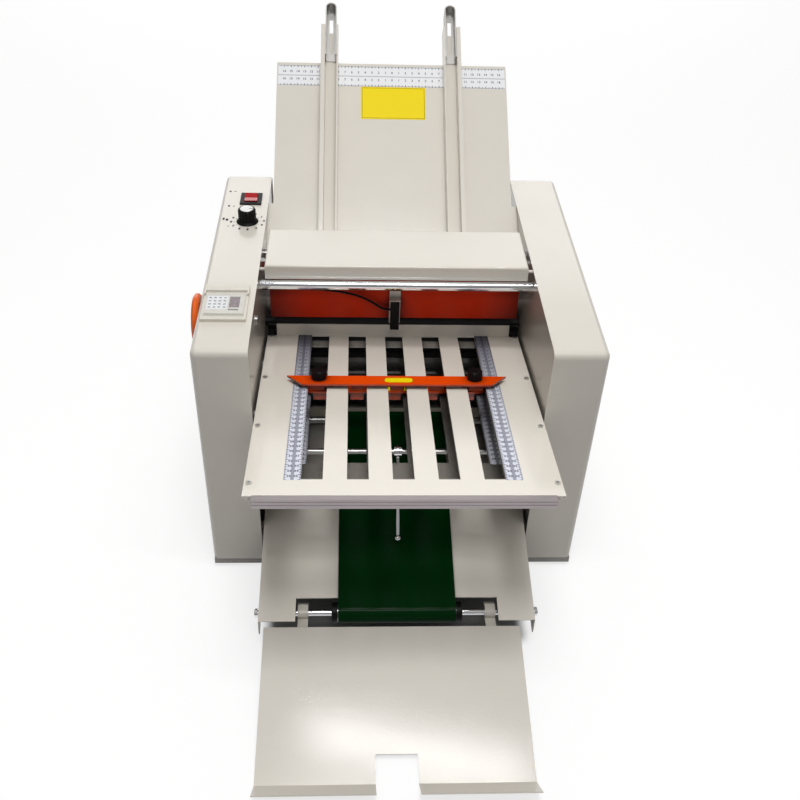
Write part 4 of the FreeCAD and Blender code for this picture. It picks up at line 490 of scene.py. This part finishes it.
def digits(values, size, places, bold=0.0):
    """Figures drawn flat as a mesh, each centred on its place; bold widens each stroke by that much on both sides."""
    parts = []
    for value, place in zip(values, places):
        curve = bpy.data.curves.new("figure", "FONT")
        curve.body = str(value)
        curve.size = size
        curve.offset = bold
        curve.align_x, curve.align_y = "CENTER", "CENTER"
        curve.resolution_u = 2
        holder = bpy.data.objects.new("figure", curve)
        bpy.context.scene.collection.objects.link(holder)
        bpy.context.view_layer.update()
        mesh = bpy.data.meshes.new_from_object(holder.evaluated_get(bpy.context.evaluated_depsgraph_get()))
        points = np.empty(len(mesh.vertices) * 3)
        mesh.vertices.foreach_get("co", points)
        faces = [tuple(p.vertices) for p in mesh.polygons]
        parts.append(moved((points.reshape(-1, 3), faces), (*place, 0.0)))
        bpy.data.objects.remove(holder)
        bpy.data.curves.remove(curve)
        bpy.data.meshes.remove(mesh)
    return join_parts(parts)


# ---- Sizes and colours that a user would change


def colour(name, code, description):
    return FloatVectorProperty(name=name, description=description, subtype="COLOR", size=4, min=0.0, max=1.0,
                               default=linear(code))


def length(name, millimetres, description):
    return FloatProperty(name=name, description=description, unit="LENGTH", default=millimetres * MM)


class FolderColours(bpy.types.PropertyGroup):
    body: colour("Body", "#DDD7CC", "Warm grey powder coat of the sheet metal")
    # The side frames wear the body's powder coat; this darker grey is painted shade on their inner walls
    inner: colour("Side frames", "#A9A49A", "Darker grey of the two side frames")
    orange: colour("Stop bars", "#FC5008", "Orange enamel of the paper stops")
    wheel: colour("Handwheel", "#E8651A", "Orange plastic of the handwheel")
    screen: colour("Roller cover", "#F03606", "Dark red enamel of the plate over the rollers")
    rubber: colour("Rubber", "#1B1B1D", "Black rubber of the rollers and feet")
    pad: colour("Friction pad", "#8A6242", "Cork pad under the feed roller")
    belt: colour("Delivery web", "#02300F", "Green face of the delivery web")
    black: colour("Black plastic", "#0C0C0D", "Knobs, switch frame and sensor")
    motor: colour("Motor", "#26272A", "Black paint of the motor")
    rocker: colour("Rocker", "#B3121A", "Red rocker of the switch")
    grey: colour("Counter case", "#DCD7CB", "Pale grey plastic of the counter")
    clear: colour("Clear cover", "#F4F6F7", "Clear cover of the counter")
    steel: colour("Steel", "#B4B3B1", "Ground steel of shafts and brackets")
    chrome: colour("Chrome", "#E4E4E6", "Chrome of the tube and guides")
    aluminium: colour("Aluminium", "#B4ACAE", "Bar at the fold plate's edge")
    channel: colour("Guide channel", "#C6C4C0", "Satin steel of the guides' sliding channels")
    zinc: colour("Screws", "#DAD9D4", "Zinc plate of the screws")
    bronze: colour("Bronze", "#B08850", "Bushes of the rollers")
    board: colour("Board", "#0F4A2C", "Resist of the control board")
    # Darker than the tray scale's white: painted shade on the fold plates' rulers
    vinyl: colour("Scale face", "#E2E4EE", "White of the printed scales")
    tray_vinyl: colour("Tray scale face", "#F1F2F4", "White of the scale on the feed tray")
    ink: colour("Scale ink", "#20244C", "Blue of the printed scales")
    label: colour("Label", "#FADF00", "Yellow of the plain labels")
    display: colour("Display", "#521A2A", "Dark red window of the counter")
    segment: colour("Figures of the display", "#A8707C", "Pale red figures of the counter")
    cap: colour("Dial cap", "#E4E4E2", "Aluminium disc on the speed dial")
    blued: colour("Springs", "#3C3E44", "Blued wire of the springs")


class FolderSizes(bpy.types.PropertyGroup):
    peel: length("Orange peel", 2.6, "Distance between the crests of the powder coat")
    peel_depth: length("Peel depth", 0.06, "Height of the crests of the powder coat")
    ruler_width: length("Ruler width", 19.0, "Width of the printed rulers on the fold plates")
    ruler_sheet: length("Ruler thickness", 0.16, "Thickness of the printed rulers")
    ruler_middle: length("Ruler place", 123.0, "Distance of each ruler from the middle of the plate")
    figure_size: length("Figure size", 5.2, "Size of the rulers' figures")
    strip_width: length("Tray scale width", 34.0, "Width of the scale on the feed tray")
    label_width: length("Label width", 96.0, "Width of the plain label on the feed tray")
    label_length: length("Label height", 54.0, "Height of the plain label on the feed tray")
    spring_radius: length("Spring radius", 2.6, "Radius of the springs at the roller cover")
    spring_wire: length("Spring wire", 0.45, "Radius of the springs' wire")
    camera_lens: length("Camera lens", 44.957, "Focal length on a 36 mm sensor")


def colours():
    return {key: tuple(getattr(bpy.context.scene.folder_colours, key)) for key in FolderColours.__annotations__}


def sizes():
    """The sizes in millimetres."""
    return {key: getattr(bpy.context.scene.folder_sizes, key) / MM for key in FolderSizes.__annotations__}


def wear(material, *slots):
    """Gives a finish to every part of the machine whose record names one of the slots."""
    parts = [p["node"] for p in frame["record"]["subparts"] if p["material_slot"] in slots]
    if not parts:
        raise RuntimeError(f"no part is made of {slots}")
    for part in parts:
        places = NODES[part].material_slots
        if not places:
            NODES[part].data.materials.append(material)
        for place in places:
            place.material = material


def dress(material, *parts):
    """Gives a finish to single parts of the machine."""
    for part in parts:
        for place in NODES[part].material_slots:
            place.material = material


# ---- Operators


class FOLDER_OT_stage(bpy.types.Operator):
    """Pale floor, white surroundings, soft boxes, a strip light and the camera at the photograph's angle"""

    bl_idname = "folder.stage"
    bl_label = "Studio"

    def execute(self, context):
        scene = context.scene
        scene.view_settings.view_transform = "Standard"
        pitch, yaw, roll = (math.radians(a) for a in (39.19, 3.52, -2.46))
        ahead = np.array([math.sin(yaw) * math.cos(pitch), math.cos(yaw) * math.cos(pitch), -math.sin(pitch)])
        right = np.array([math.cos(yaw), -math.sin(yaw), 0.0])
        down = np.cross(ahead, right)
        right_rolled = math.cos(roll) * right + math.sin(roll) * down
        down_rolled = -math.sin(roll) * right + math.cos(roll) * down
        pose = np.eye(4)
        pose[:3, 0], pose[:3, 1], pose[:3, 2] = right_rolled, -down_rolled, -ahead
        pose[:3, 3] = (-0.0571, -1.0571, 1.0489)
        data = bpy.data.cameras.new("photo_camera")
        data.sensor_width = 36.0
        data.lens = sizes()["camera_lens"]
        data.clip_start, data.clip_end = 0.05, 40.0
        camera = bpy.data.objects.new("photo_camera", data)
        camera.matrix_world = Matrix(pose)
        scene.collection.objects.link(camera)
        scene.camera = camera

        # The floor is seen as white and keeps the machine's shadow; in a rectangle under the machine its white glow is
        # cut off, a painted shadow over the floor's own dark shade
        material = bpy.data.materials.new("floor_white")
        material.use_nodes = True
        tree = material.node_tree
        tree.nodes.clear()
        path = add(tree, "ShaderNodeLightPath").outputs
        direct = {0: path["Is Camera Ray"], 1: path["Is Glossy Ray"]}
        seen = add(tree, "ShaderNodeMath", direct, operation="MAXIMUM")
        through = {0: seen.outputs["Value"], 1: path["Is Transmission Ray"]}
        seen = add(tree, "ShaderNodeMath", through, operation="MAXIMUM")
        spot = add(tree, "ShaderNodeSeparateXYZ", {"Vector": add(tree, "ShaderNodeTexCoord").outputs["Object"]})
        clear = seen.outputs["Value"]
        under = None
        for axis, low, high in (("X", SHADOW_FOOTPRINT[0][0], SHADOW_FOOTPRINT[1][0]), ("Y", SHADOW_FOOTPRINT[0][1], SHADOW_FOOTPRINT[1][1])):
            off = add(tree, "ShaderNodeMath", {0: spot.outputs[axis], 1: (low + high) / 2}, operation="SUBTRACT")
            off = add(tree, "ShaderNodeMath", {0: off.outputs["Value"]}, operation="ABSOLUTE")
            reach = (high - low) / 2
            inside = add(tree, "ShaderNodeMapRange", {"Value": off.outputs["Value"], "From Min": reach + 0.01,
                                                      "From Max": reach - 0.01}, interpolation_type="SMOOTHSTEP")
            inside = inside.outputs["Result"]
            if under is not None:
                inside = add(tree, "ShaderNodeMath", {0: under, 1: inside}, operation="MULTIPLY").outputs["Value"]
            under = inside
        glow_outside_shadow = add(tree, "ShaderNodeMath", {0: 1.0, 1: under}, operation="SUBTRACT").outputs["Value"]
        level = add(tree, "ShaderNodeMath", {0: clear, 1: glow_outside_shadow}, operation="MULTIPLY").outputs["Value"]
        strength = add(tree, "ShaderNodeMath", {0: level, 1: FLOOR_GLOW}, operation="MULTIPLY").outputs["Value"]
        matt = add(tree, "ShaderNodeBsdfDiffuse", {"Color": (0.34, 0.34, 0.34, 1.0)})
        glow = add(tree, "ShaderNodeEmission", {"Color": (1.0, 1.0, 1.0, 1.0), "Strength": strength})
        mixed = add(tree, "ShaderNodeAddShader", {0: matt.outputs["BSDF"], 1: glow.outputs["Emission"]})
        add(tree, "ShaderNodeOutputMaterial", {"Surface": mixed.outputs["Shader"]})
        far = 9.0
        mesh = bpy.data.meshes.new("floor")
        mesh.from_pydata([(-far, -far, 0), (far, -far, 0), (far, far, 0), (-far, far, 0)], [], [(0, 1, 2, 3)])
        mesh.materials.append(material)
        floor = bpy.data.objects.new("floor", mesh)
        scene.collection.objects.link(floor)

        world = bpy.data.worlds.new("soft_white")
        world.use_nodes = True
        scene.world = world
        tree = world.node_tree
        tree.nodes.clear()
        # Dim at the horizon and brighter overhead: the machine's inside stays dark, and round metal shows bands
        ray = add(tree, "ShaderNodeSeparateXYZ", {"Vector": add(tree, "ShaderNodeTexCoord").outputs["Generated"]})
        level = add(tree, "ShaderNodeMapRange", {"Value": ray.outputs["Z"], "From Min": 0.15, "From Max": 0.6,
                                                 "To Min": 0.17, "To Max": 0.38})
        white = {"Color": (1.0, 1.0, 1.0, 1.0), "Strength": level.outputs["Result"]}
        back = add(tree, "ShaderNodeBackground", white)
        add(tree, "ShaderNodeOutputWorld", {"Surface": back.outputs["Background"]})

        for name, spot, aim, width, depth, turn, watts in (
                ("soft_box_rear", (-0.3, 0.8, 2.6), (-0.3, 0.8, 0.0), 1.5, 1.0, 0.0, 2.0),
                ("soft_box_front", (0.0, -0.7, 2.6), (0.0, -0.25, 0.2), 0.6, 0.9, 0.0, 22.5),
                ("strip_light", (0.12, -0.234, 1.6), (0.12, -0.234, 0.0), 0.6, 0.07, -12.0, 3.6),
                ("soft_box_low", (0.0, 3.2, 1.5), (0.0, 0.0, 0.3), 3.6, 1.6, 0.0, 33.0)):
            lamp = bpy.data.lights.new(name, "AREA")
            lamp.shape = "RECTANGLE"
            lamp.size, lamp.size_y, lamp.energy = width, depth, watts
            box = bpy.data.objects.new(name, lamp)
            box.location = spot
            box.rotation_euler = (Vector(aim) - Vector(spot)).to_track_quat("-Z", "Y").to_euler()
            box.rotation_euler.rotate_axis("Z", math.radians(turn))
            scene.collection.objects.link(box)
        return {"FINISHED"}


class FOLDER_OT_lead(bpy.types.Operator):
    """The sensor's thin black lead, from the sensor behind the tube to the control board"""

    bl_idname = "folder.lead"
    bl_label = "Sensor lead"

    def execute(self, context):
        route = ((-6, 72.5, 285), (-16, 72.5, 285), (-29, 71.5, 296.5), (-48, 70.5, 308), (-74, 69.5, 315.5),
                 (-106, 68.5, 319.5), (-139, 68.5, 320), (-160, 71.5, 317.8), (-176.5, 72.5, 317),
                 (-196.5, 72.5, 317), (-196.5, 72.5, 358), (-196.5, 113.225, 357), (-196.5, 153.95, 358))
        curve = bpy.data.curves.new("sensor_lead_line", "CURVE")
        curve.dimensions = "3D"
        curve.bevel_depth = 1.5 * MM
        curve.bevel_resolution = 4
        curve.use_fill_caps = True
        spline = curve.splines.new("NURBS")
        spline.points.add(len(route) - 1)
        flat = np.column_stack([np.array(route) * MM, np.ones(len(route))])
        spline.points.foreach_set("co", flat.ravel())
        spline.order_u = 3
        spline.use_endpoint_u = True
        spline.resolution_u = 12
        lead = bpy.data.objects.new("sensor_lead_line", curve)
        context.scene.collection.objects.link(lead)
        curve.materials.append(moulded_plastic("soft_pvc_sheath", colours()["black"], 0.38))
        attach(lead, "machine")
        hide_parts("sensor_lead")
        return {"FINISHED"}


class FOLDER_OT_paint(bpy.types.Operator):
    """Powder coat on the sheet metal and enamel on the stops, the roller cover and the motor"""

    bl_idname = "folder.paint"
    bl_label = "Paint"

    def execute(self, context):
        tone, size = colours(), sizes()
        wear(powder_coat("powder_coat_warm_grey", tone["body"], size["peel"], size["peel_depth"]), "body_paint")
        # The side frames: the body's coat in a darker grey, as painted shade
        wear(powder_coat("powder_coat_frame_grey", tone["inner"], size["peel"], size["peel_depth"]), "frame_paint")
        # Under the plates and in the base: painted shade, the coat near black where other faces stand within 130 mm
        shaded_coat = powder_coat("powder_coat_warm_grey_dusty", tone["body"], size["peel"], size["peel_depth"], 130.0)
        dress(shaded_coat, "lower_plate_top", "lower_plate_bottom", "upper_plate_bottom", "base_pan")
        # Lighter copies of the body colour on the upper plate's top and the delivery table are painted light; the
        # table also gets painted shade
        for part, factor, reach in (("upper_plate_top", 1.12, 0.0), ("delivery_table", 1.3, 110.0)):
            lighter = tint(tone["body"], factor)
            dress(powder_coat(f"powder_coat_{part}", lighter, size["peel"], size["peel_depth"], reach), part)
        wear(enamel("enamel_orange", tone["orange"]), "orange_paint")
        wear(enamel("enamel_dark_red", tone["screen"], 0.3, 0.0, 0.15), "red_paint")
        wear(enamel("enamel_motor_black", tone["motor"], 0.35), "motor_paint")
        return {"FINISHED"}


class FOLDER_OT_metal(bpy.types.Operator):
    """Ground steel, chrome plate, extruded aluminium and sintered bronze"""

    bl_idname = "folder.metal"
    bl_label = "Bare metal"

    def execute(self, context):
        tone = colours()
        wear(ground_steel("steel_ground", tone["steel"]), "bright_steel")
        wear(chrome_plate("chrome_plate", tone["chrome"]), "chrome")
        dress(ground_steel("steel_satin_channel", tone["channel"], 0.42), "left_arm_insert", "right_arm_insert")
        dress(ground_steel("zinc_plated", tone["zinc"], 0.5), "fixing_screws", "sensor_bracket")
        wear(extruded_aluminium("aluminium_extruded", tone["aluminium"]), "bar_aluminium")
        wear(sintered_bronze("bronze_sintered", tone["bronze"]), "bush_bronze")
        return {"FINISHED"}


class FOLDER_OT_rubber(bpy.types.Operator):
    """Roller rubber, the friction pad, the green delivery web and the moulded plastics"""

    bl_idname = "folder.rubber"
    bl_label = "Rubber and plastic"

    def execute(self, context):
        tone = colours()
        wear(ground_rubber("rubber_ground", tone["rubber"]), "black_rubber")
        wear(friction_pad("cork_pad", tone["pad"]), "cork_pad")
        wear(belt_pvc("pvc_belting_green", tone["belt"]), "green_belt")
        wear(moulded_plastic("abs_orange", tone["wheel"], 0.3, 0.4), "orange_plastic")
        wear(moulded_plastic("nylon_black", tone["black"], 0.4), "black_plastic")
        wear(moulded_plastic("polycarbonate_red", tone["rocker"], 0.18, 0.7), "red_lens")
        wear(moulded_plastic("abs_pale_grey", tone["grey"], 0.36, 0.1), "grey_plastic")
        wear(clear_acrylic("acrylic_clear", tone["clear"]), "clear_plastic")
        wear(circuit_board("epoxy_board_green", tone["board"]), "board")
        return {"FINISHED"}


class FOLDER_OT_rulers(bpy.types.Operator):
    """Printed rulers beside the outer slots of both fold plates, and the scale along the feed tray"""

    bl_idname = "folder.rulers"
    bl_label = "Printed scales"

    def execute(self, context):
        tone, size = colours(), sizes()
        half, sheet = size["ruler_width"] / 2, size["ruler_sheet"]
        ink = screen_ink("ink_scale_blue", tone["ink"])
        for plate, mouth, reach in (("upper", UPPER_MOUTH, 357.0), ("lower", LOWER_MOUTH, 252.0)):
            # The stretch at the mouth is darkened by painted shade
            mouth_shade = (reach, reach - 210.0)
            vinyl = printed_vinyl(f"vinyl_scale_{plate}", tone["vinyl"], tone["ink"], half, 1.9, mouth_shade)
            rings = ((0, 0.02), (0, 0.6 * sheet), (0.15, sheet))
            strip = slab(half, reach / 2, 0.8, rings)
            uv = strip[0][:, :2] + (0.0, reach / 2)
            for side, sign in (("left", -1), ("right", 1)):
                origin = seat(mouth, -PLATE_SLOPE) @ Matrix.Translation(
                    (sign * size["ruler_middle"] * MM, -(2.0 + reach / 2) * MM, 0))
                piece = lay(f"{plate}_ruler_{side}", *strip, vinyl, "machine", origin, uv)
                marks = np.arange(1, int(reach // 10) + 1)
                shown = [m for m in marks if 10 * m < reach - 4]
                rows = [(dx, reach / 2 - 10.0 * m) for dx in (-3.9, 3.9) for m in shown]
                figures = digits(shown * 2, size["figure_size"], rows, 0.16)
                lift = origin @ Matrix.Translation((0, 0, (sheet + 0.02) * MM))
                lay(f"{plate}_ruler_{side}_figures", *figures, ink, "machine", lift)
        # The guide arms slide 0.1 mm above the tray, over a thinner film
        half, reach, film = size["strip_width"] / 2, 338.0, 0.06
        vinyl = printed_vinyl("vinyl_tray_scale", tone["tray_vinyl"], tone["ink"], half, 0.6)
        strip = slab(half, reach / 2, 0.8, ((0, 0.01), (0, 0.6 * film), (0.15, film)))
        uv = strip[0][:, :2] + (0.0, 200.0)
        origin = seat(TRAY_START, TRAY_SLOPE) @ Matrix.Translation((0, 310.0 * MM, 0))
        origin = origin @ Matrix.Rotation(math.pi / 2, 4, "Z")
        piece = lay("tray_scale", *strip, vinyl, "machine", origin, uv)
        marks = [m for m in range(-16, 17)]
        rows = [(10.0 * m, dy) for dy in (-6.0, 6.5) for m in marks]
        figures = digits([abs(m) for m in marks] * 2, size["figure_size"], rows, 0.1)
        lift = seat(TRAY_START, TRAY_SLOPE) @ Matrix.Translation((0, 310.0 * MM, (film + 0.02) * MM))
        lay("tray_scale_figures", *figures, ink, "machine", lift)
        return {"FINISHED"}


class FOLDER_OT_labels(bpy.types.Operator):
    """Plain yellow labels on the feed tray and on both paper stops"""

    bl_idname = "folder.labels"
    bl_label = "Plain labels"

    def execute(self, context):
        tone, size = colours(), sizes()
        black = tone["black"]
        half_x, half_y = size["label_width"] / 2, size["label_length"] / 2
        vinyl = label_vinyl("vinyl_label_yellow", tone["label"], black, half_x, half_y, 2.0, 0.5)
        sheet = slab(half_x, half_y, 1.2, ((0, 0.02), (0, 0.15), (0.1, 0.22)))
        origin = seat(TRAY_START, TRAY_SLOPE) @ Matrix.Translation((1.5 * MM, 265.5 * MM, 0))
        lay("tray_label", *sheet, vinyl, "machine", origin, sheet[0][:, :2])
        vinyl = label_vinyl("vinyl_stop_label", tone["label"], black, 18.5, 6.0, 0.7, 0.5)
        for stop, mouth, along, rise in (("upper", UPPER_MOUTH, 138.6, 8.0), ("lower", LOWER_MOUTH, 74.2, 8.0)):
            middle = along + (11.0 if stop == "upper" else 8.0)
            high = 6.0 if stop == "upper" else 4.5
            sheet = slab(18.5, high, high - 0.2, ((0, 0.02), (0, 0.15), (0.1, 0.22)))
            origin = seat(mouth, -PLATE_SLOPE) @ Matrix.Translation((1.8 * MM, -middle * MM, rise * MM))
            label = lay(f"{stop}_stop_label", *sheet, vinyl, f"{stop}_stop", origin, sheet[0][:, :2])
        return {"FINISHED"}


class FOLDER_OT_controls(bpy.types.Operator):
    """The dial's scale and cap, the marks beside the switches, and the counter's keys and window"""

    bl_idname = "folder.controls"
    bl_label = "Control panel"

    def execute(self, context):
        tone = colours()
        ink = screen_ink("ink_black", tone["black"])
        top = Matrix.Translation((0, 0, HOUSING_TOP * MM))
        dial = np.array((-202.0, 166.5))
        angles = np.radians(65.0 - 30.0 * np.arange(10))
        spots = dial + 22.3 * np.stack([np.cos(angles), np.sin(angles)], axis=-1)
        figures = digits(range(10), 6.0, [tuple(s) for s in spots], 0.4)
        lay("dial_figures", *figures, ink, "machine", top @ Matrix.Translation((0, 0, 0.05 * MM)))
        roots = dial + 17.6 * np.stack([np.cos(angles), np.sin(angles)], axis=-1)
        ticks = [moved(thin(0.8, 0.45), (*root, 0.0), math.degrees(a)) for root, a in zip(roots, angles)]
        lay("dial_ticks", *join_parts(ticks), ink, "machine", top)

        # Small plain marks in rows, a short bar with a ring or a dot before it
        marks = []
        for x, y, half_x, half_y in ((-233.4, 253.0, 1.5, 2.2), (-226.3, 253.2, 2.2, 0.7), (-231.4, 209.8, 1.4, 2.6),
                                     (-224.6, 209.2, 1.6, 0.9), (-235.2, 173.0, 1.5, 3.2), (-230.4, 170.5, 1.9, 3.0),
                                     (-227.0, 153.0, 1.2, 0.9)):
            marks.append(moved(thin(half_x, half_y, min(half_x, half_y) - 0.05), (x, y, 0.0)))
        lay("panel_marks", *join_parts(marks), ink, "machine", top)

        # The knob's cap is a thin aluminium disc let into the black plastic, with one printed pointer
        disc = turned_shape(((0, -0.4), (8.6, -0.4), (9.0, 0.0), (9.0, 0.3), (8.6, 0.55), (0, 0.55)), 40)
        cap = Matrix.Translation(Vector((dial[0], dial[1], 384.5)) * MM)
        spun = extruded_aluminium("aluminium_spun_cap", tone["cap"], 0.42)
        lay("dial_cap", *disc, spun, "dial", cap)
        pointer = moved(thin(2.6, 0.5, 0.3, 0.5, 0.62), (6.0, 0.0, 0.0))
        lay("dial_pointer", *pointer, ink, "dial", cap)

        # Counter: a white key block with small dark marks, a dark red window and a slot beneath it, drawn as a black
        # film of painted shade
        face = Matrix.Translation((0, 0, COUNTER_FACE * MM))
        key_face = moulded_plastic("key_film_white", tone["tray_vinyl"], 0.4)
        block = moved(slab(12.3, 14.0, 1.0, ((0, 0.0), (0, 0.12), (0.08, 0.16))), (-220.5, -42.5, 0.0))
        lay("counter_keys", *block, key_face, "machine", face)
        spots = [(x, y, 0.15) for x in (-229.5, -223.5, -217.5, -211.5) for y in (-32.3, -39.0, -45.7, -52.4)]
        keys = [moved(thin(1.7, 1.0, 0.3), spot, 12.0 * ((k * 7) % 5 - 2)) for k, spot in enumerate(spots)]
        lay("counter_key_marks", *join_parts(keys), ink, "machine", face)
        window = moulded_plastic("window_dark_red", tone["display"], 0.2, 0.5)
        pane = moved(slab(6.2, 11.5, 0.6, ((0, 0.0), (0, 0.15), (0.1, 0.2))), (-199.8, -41.0, 0.0))
        lay("counter_window", *pane, window, "machine", face)
        slot = moved(slab(6.2, 1.3, 1.0, ((0, 0.0), (0, 0.12))), (-200.0, -57.5, 0.0))
        lay("counter_slot", *slot, ink, "machine", face)
        glow = moulded_plastic("segment_pale_red", tone["segment"], 0.3)
        numbers = digits(range(3), 5.5, ((-199.8, -34.5), (-199.8, -41.0), (-199.8, -47.5)))
        lay("counter_numbers", *numbers, glow, "machine", face @ Matrix.Translation((0, 0, 0.24 * MM)))
        return {"FINISHED"}


class FOLDER_OT_springs(bpy.types.Operator):
    """The two coil springs that hold the roller cover, the drum's end collars and the painted shade of the screws'
    cross recesses
    """

    bl_idname = "folder.springs"
    bl_label = "Springs, collars and screws"

    def execute(self, context):
        tone, size = colours(), sizes()
        wire_steel = ground_steel("spring_steel_blued", tone["blued"], 0.3)
        turns, pitch = 11, 2.2
        turn = np.linspace(0, turns * 2 * math.pi, turns * 16 + 1)
        for side, x in (("left", -173.6), ("right", 173.6)):
            ring = size["spring_radius"] * np.stack([np.cos(turn), np.sin(turn)], axis=-1)
            coil = np.column_stack([ring + (x, 94.0), 312.0 + pitch * turn / (2 * math.pi)])
            spring = lay(f"cover_spring_{side}", *wire(coil, size["spring_wire"]), wire_steel, "machine", smooth=True)
        nylon = moulded_plastic("nylon_black_collar", tone["black"], 0.35)
        # Each collar caps the drum's 2 mm rim outside the web, and its bore clears the shaft
        skirt = ((13.2, 74.3), (13.2, 81.2), (12.4, 82.0), (4.25, 82.0), (4.25, 76.3), (12.15, 76.3), (12.15, 74.3))
        for side, quarter in (("left", -math.pi / 2), ("right", math.pi / 2)):
            place = Matrix.Translation(Vector(FRONT_DRUM) * MM) @ Matrix.Rotation(quarter, 4, "Y")
            lay(f"drum_collar_{side}", *sleeve(skirt), nylon, "belt_front", place)
        # The cross recesses are black films on the screw heads: painted shade
        recess = screen_ink("recess_shade", tone["black"])
        plates = (("upper", UPPER_MOUTH, (13.0, 130.5, 248.0, 365.5)), ("lower", LOWER_MOUTH, (13.0,)))
        for plate, mouth, rows in plates:
            crosses = []
            for sign in (-1, 1):
                for k, row in enumerate(rows):
                    for turn in (25.0 + 31 * k, 115.0 + 31 * k):
                        bar = thin(1.3, 0.24, 0.2, SCREW_TOP, SCREW_TOP + 0.05)
                        crosses.append(moved(bar, (sign * 169.5, -row, 0.0), turn))
            lay(f"{plate}_screw_recesses", *join_parts(crosses), recess, "machine", seat(mouth, -PLATE_SLOPE))
        return {"FINISHED"}


class FOLDER_OT_panel(bpy.types.Panel):
    """Lists the steps that dress the machine, with its sizes and colours"""

    bl_idname = "FOLDER_PT_panel"
    bl_label = "Paper folding machine"
    bl_space_type = "VIEW_3D"
    bl_region_type = "UI"
    bl_category = "Folder"

    def draw(self, context):
        for step in STEPS:
            self.layout.operator(step.bl_idname)
        for group in (context.scene.folder_sizes, context.scene.folder_colours):
            for key in type(group).__annotations__:
                self.layout.prop(group, key)


STEPS = (FOLDER_OT_stage, FOLDER_OT_lead, FOLDER_OT_paint, FOLDER_OT_metal, FOLDER_OT_rubber, FOLDER_OT_rulers,
         FOLDER_OT_labels, FOLDER_OT_controls, FOLDER_OT_springs)
CLASSES = (FolderColours, FolderSizes, *STEPS, FOLDER_OT_panel)


def register():
    for item in CLASSES:
        bpy.utils.register_class(item)
    bpy.types.Scene.folder_colours = PointerProperty(type=FolderColours)
    bpy.types.Scene.folder_sizes = PointerProperty(type=FolderSizes)


def unregister():
    del bpy.types.Scene.folder_sizes, bpy.types.Scene.folder_colours
    for item in reversed(CLASSES):
        bpy.utils.unregister_class(item)


def main():
    """Dresses the machine step by step."""
    register()
    for step in STEPS:
        group, name = step.bl_idname.split(".")
        getattr(getattr(bpy.ops, group), name)()


if __name__ == "__main__":
    main()
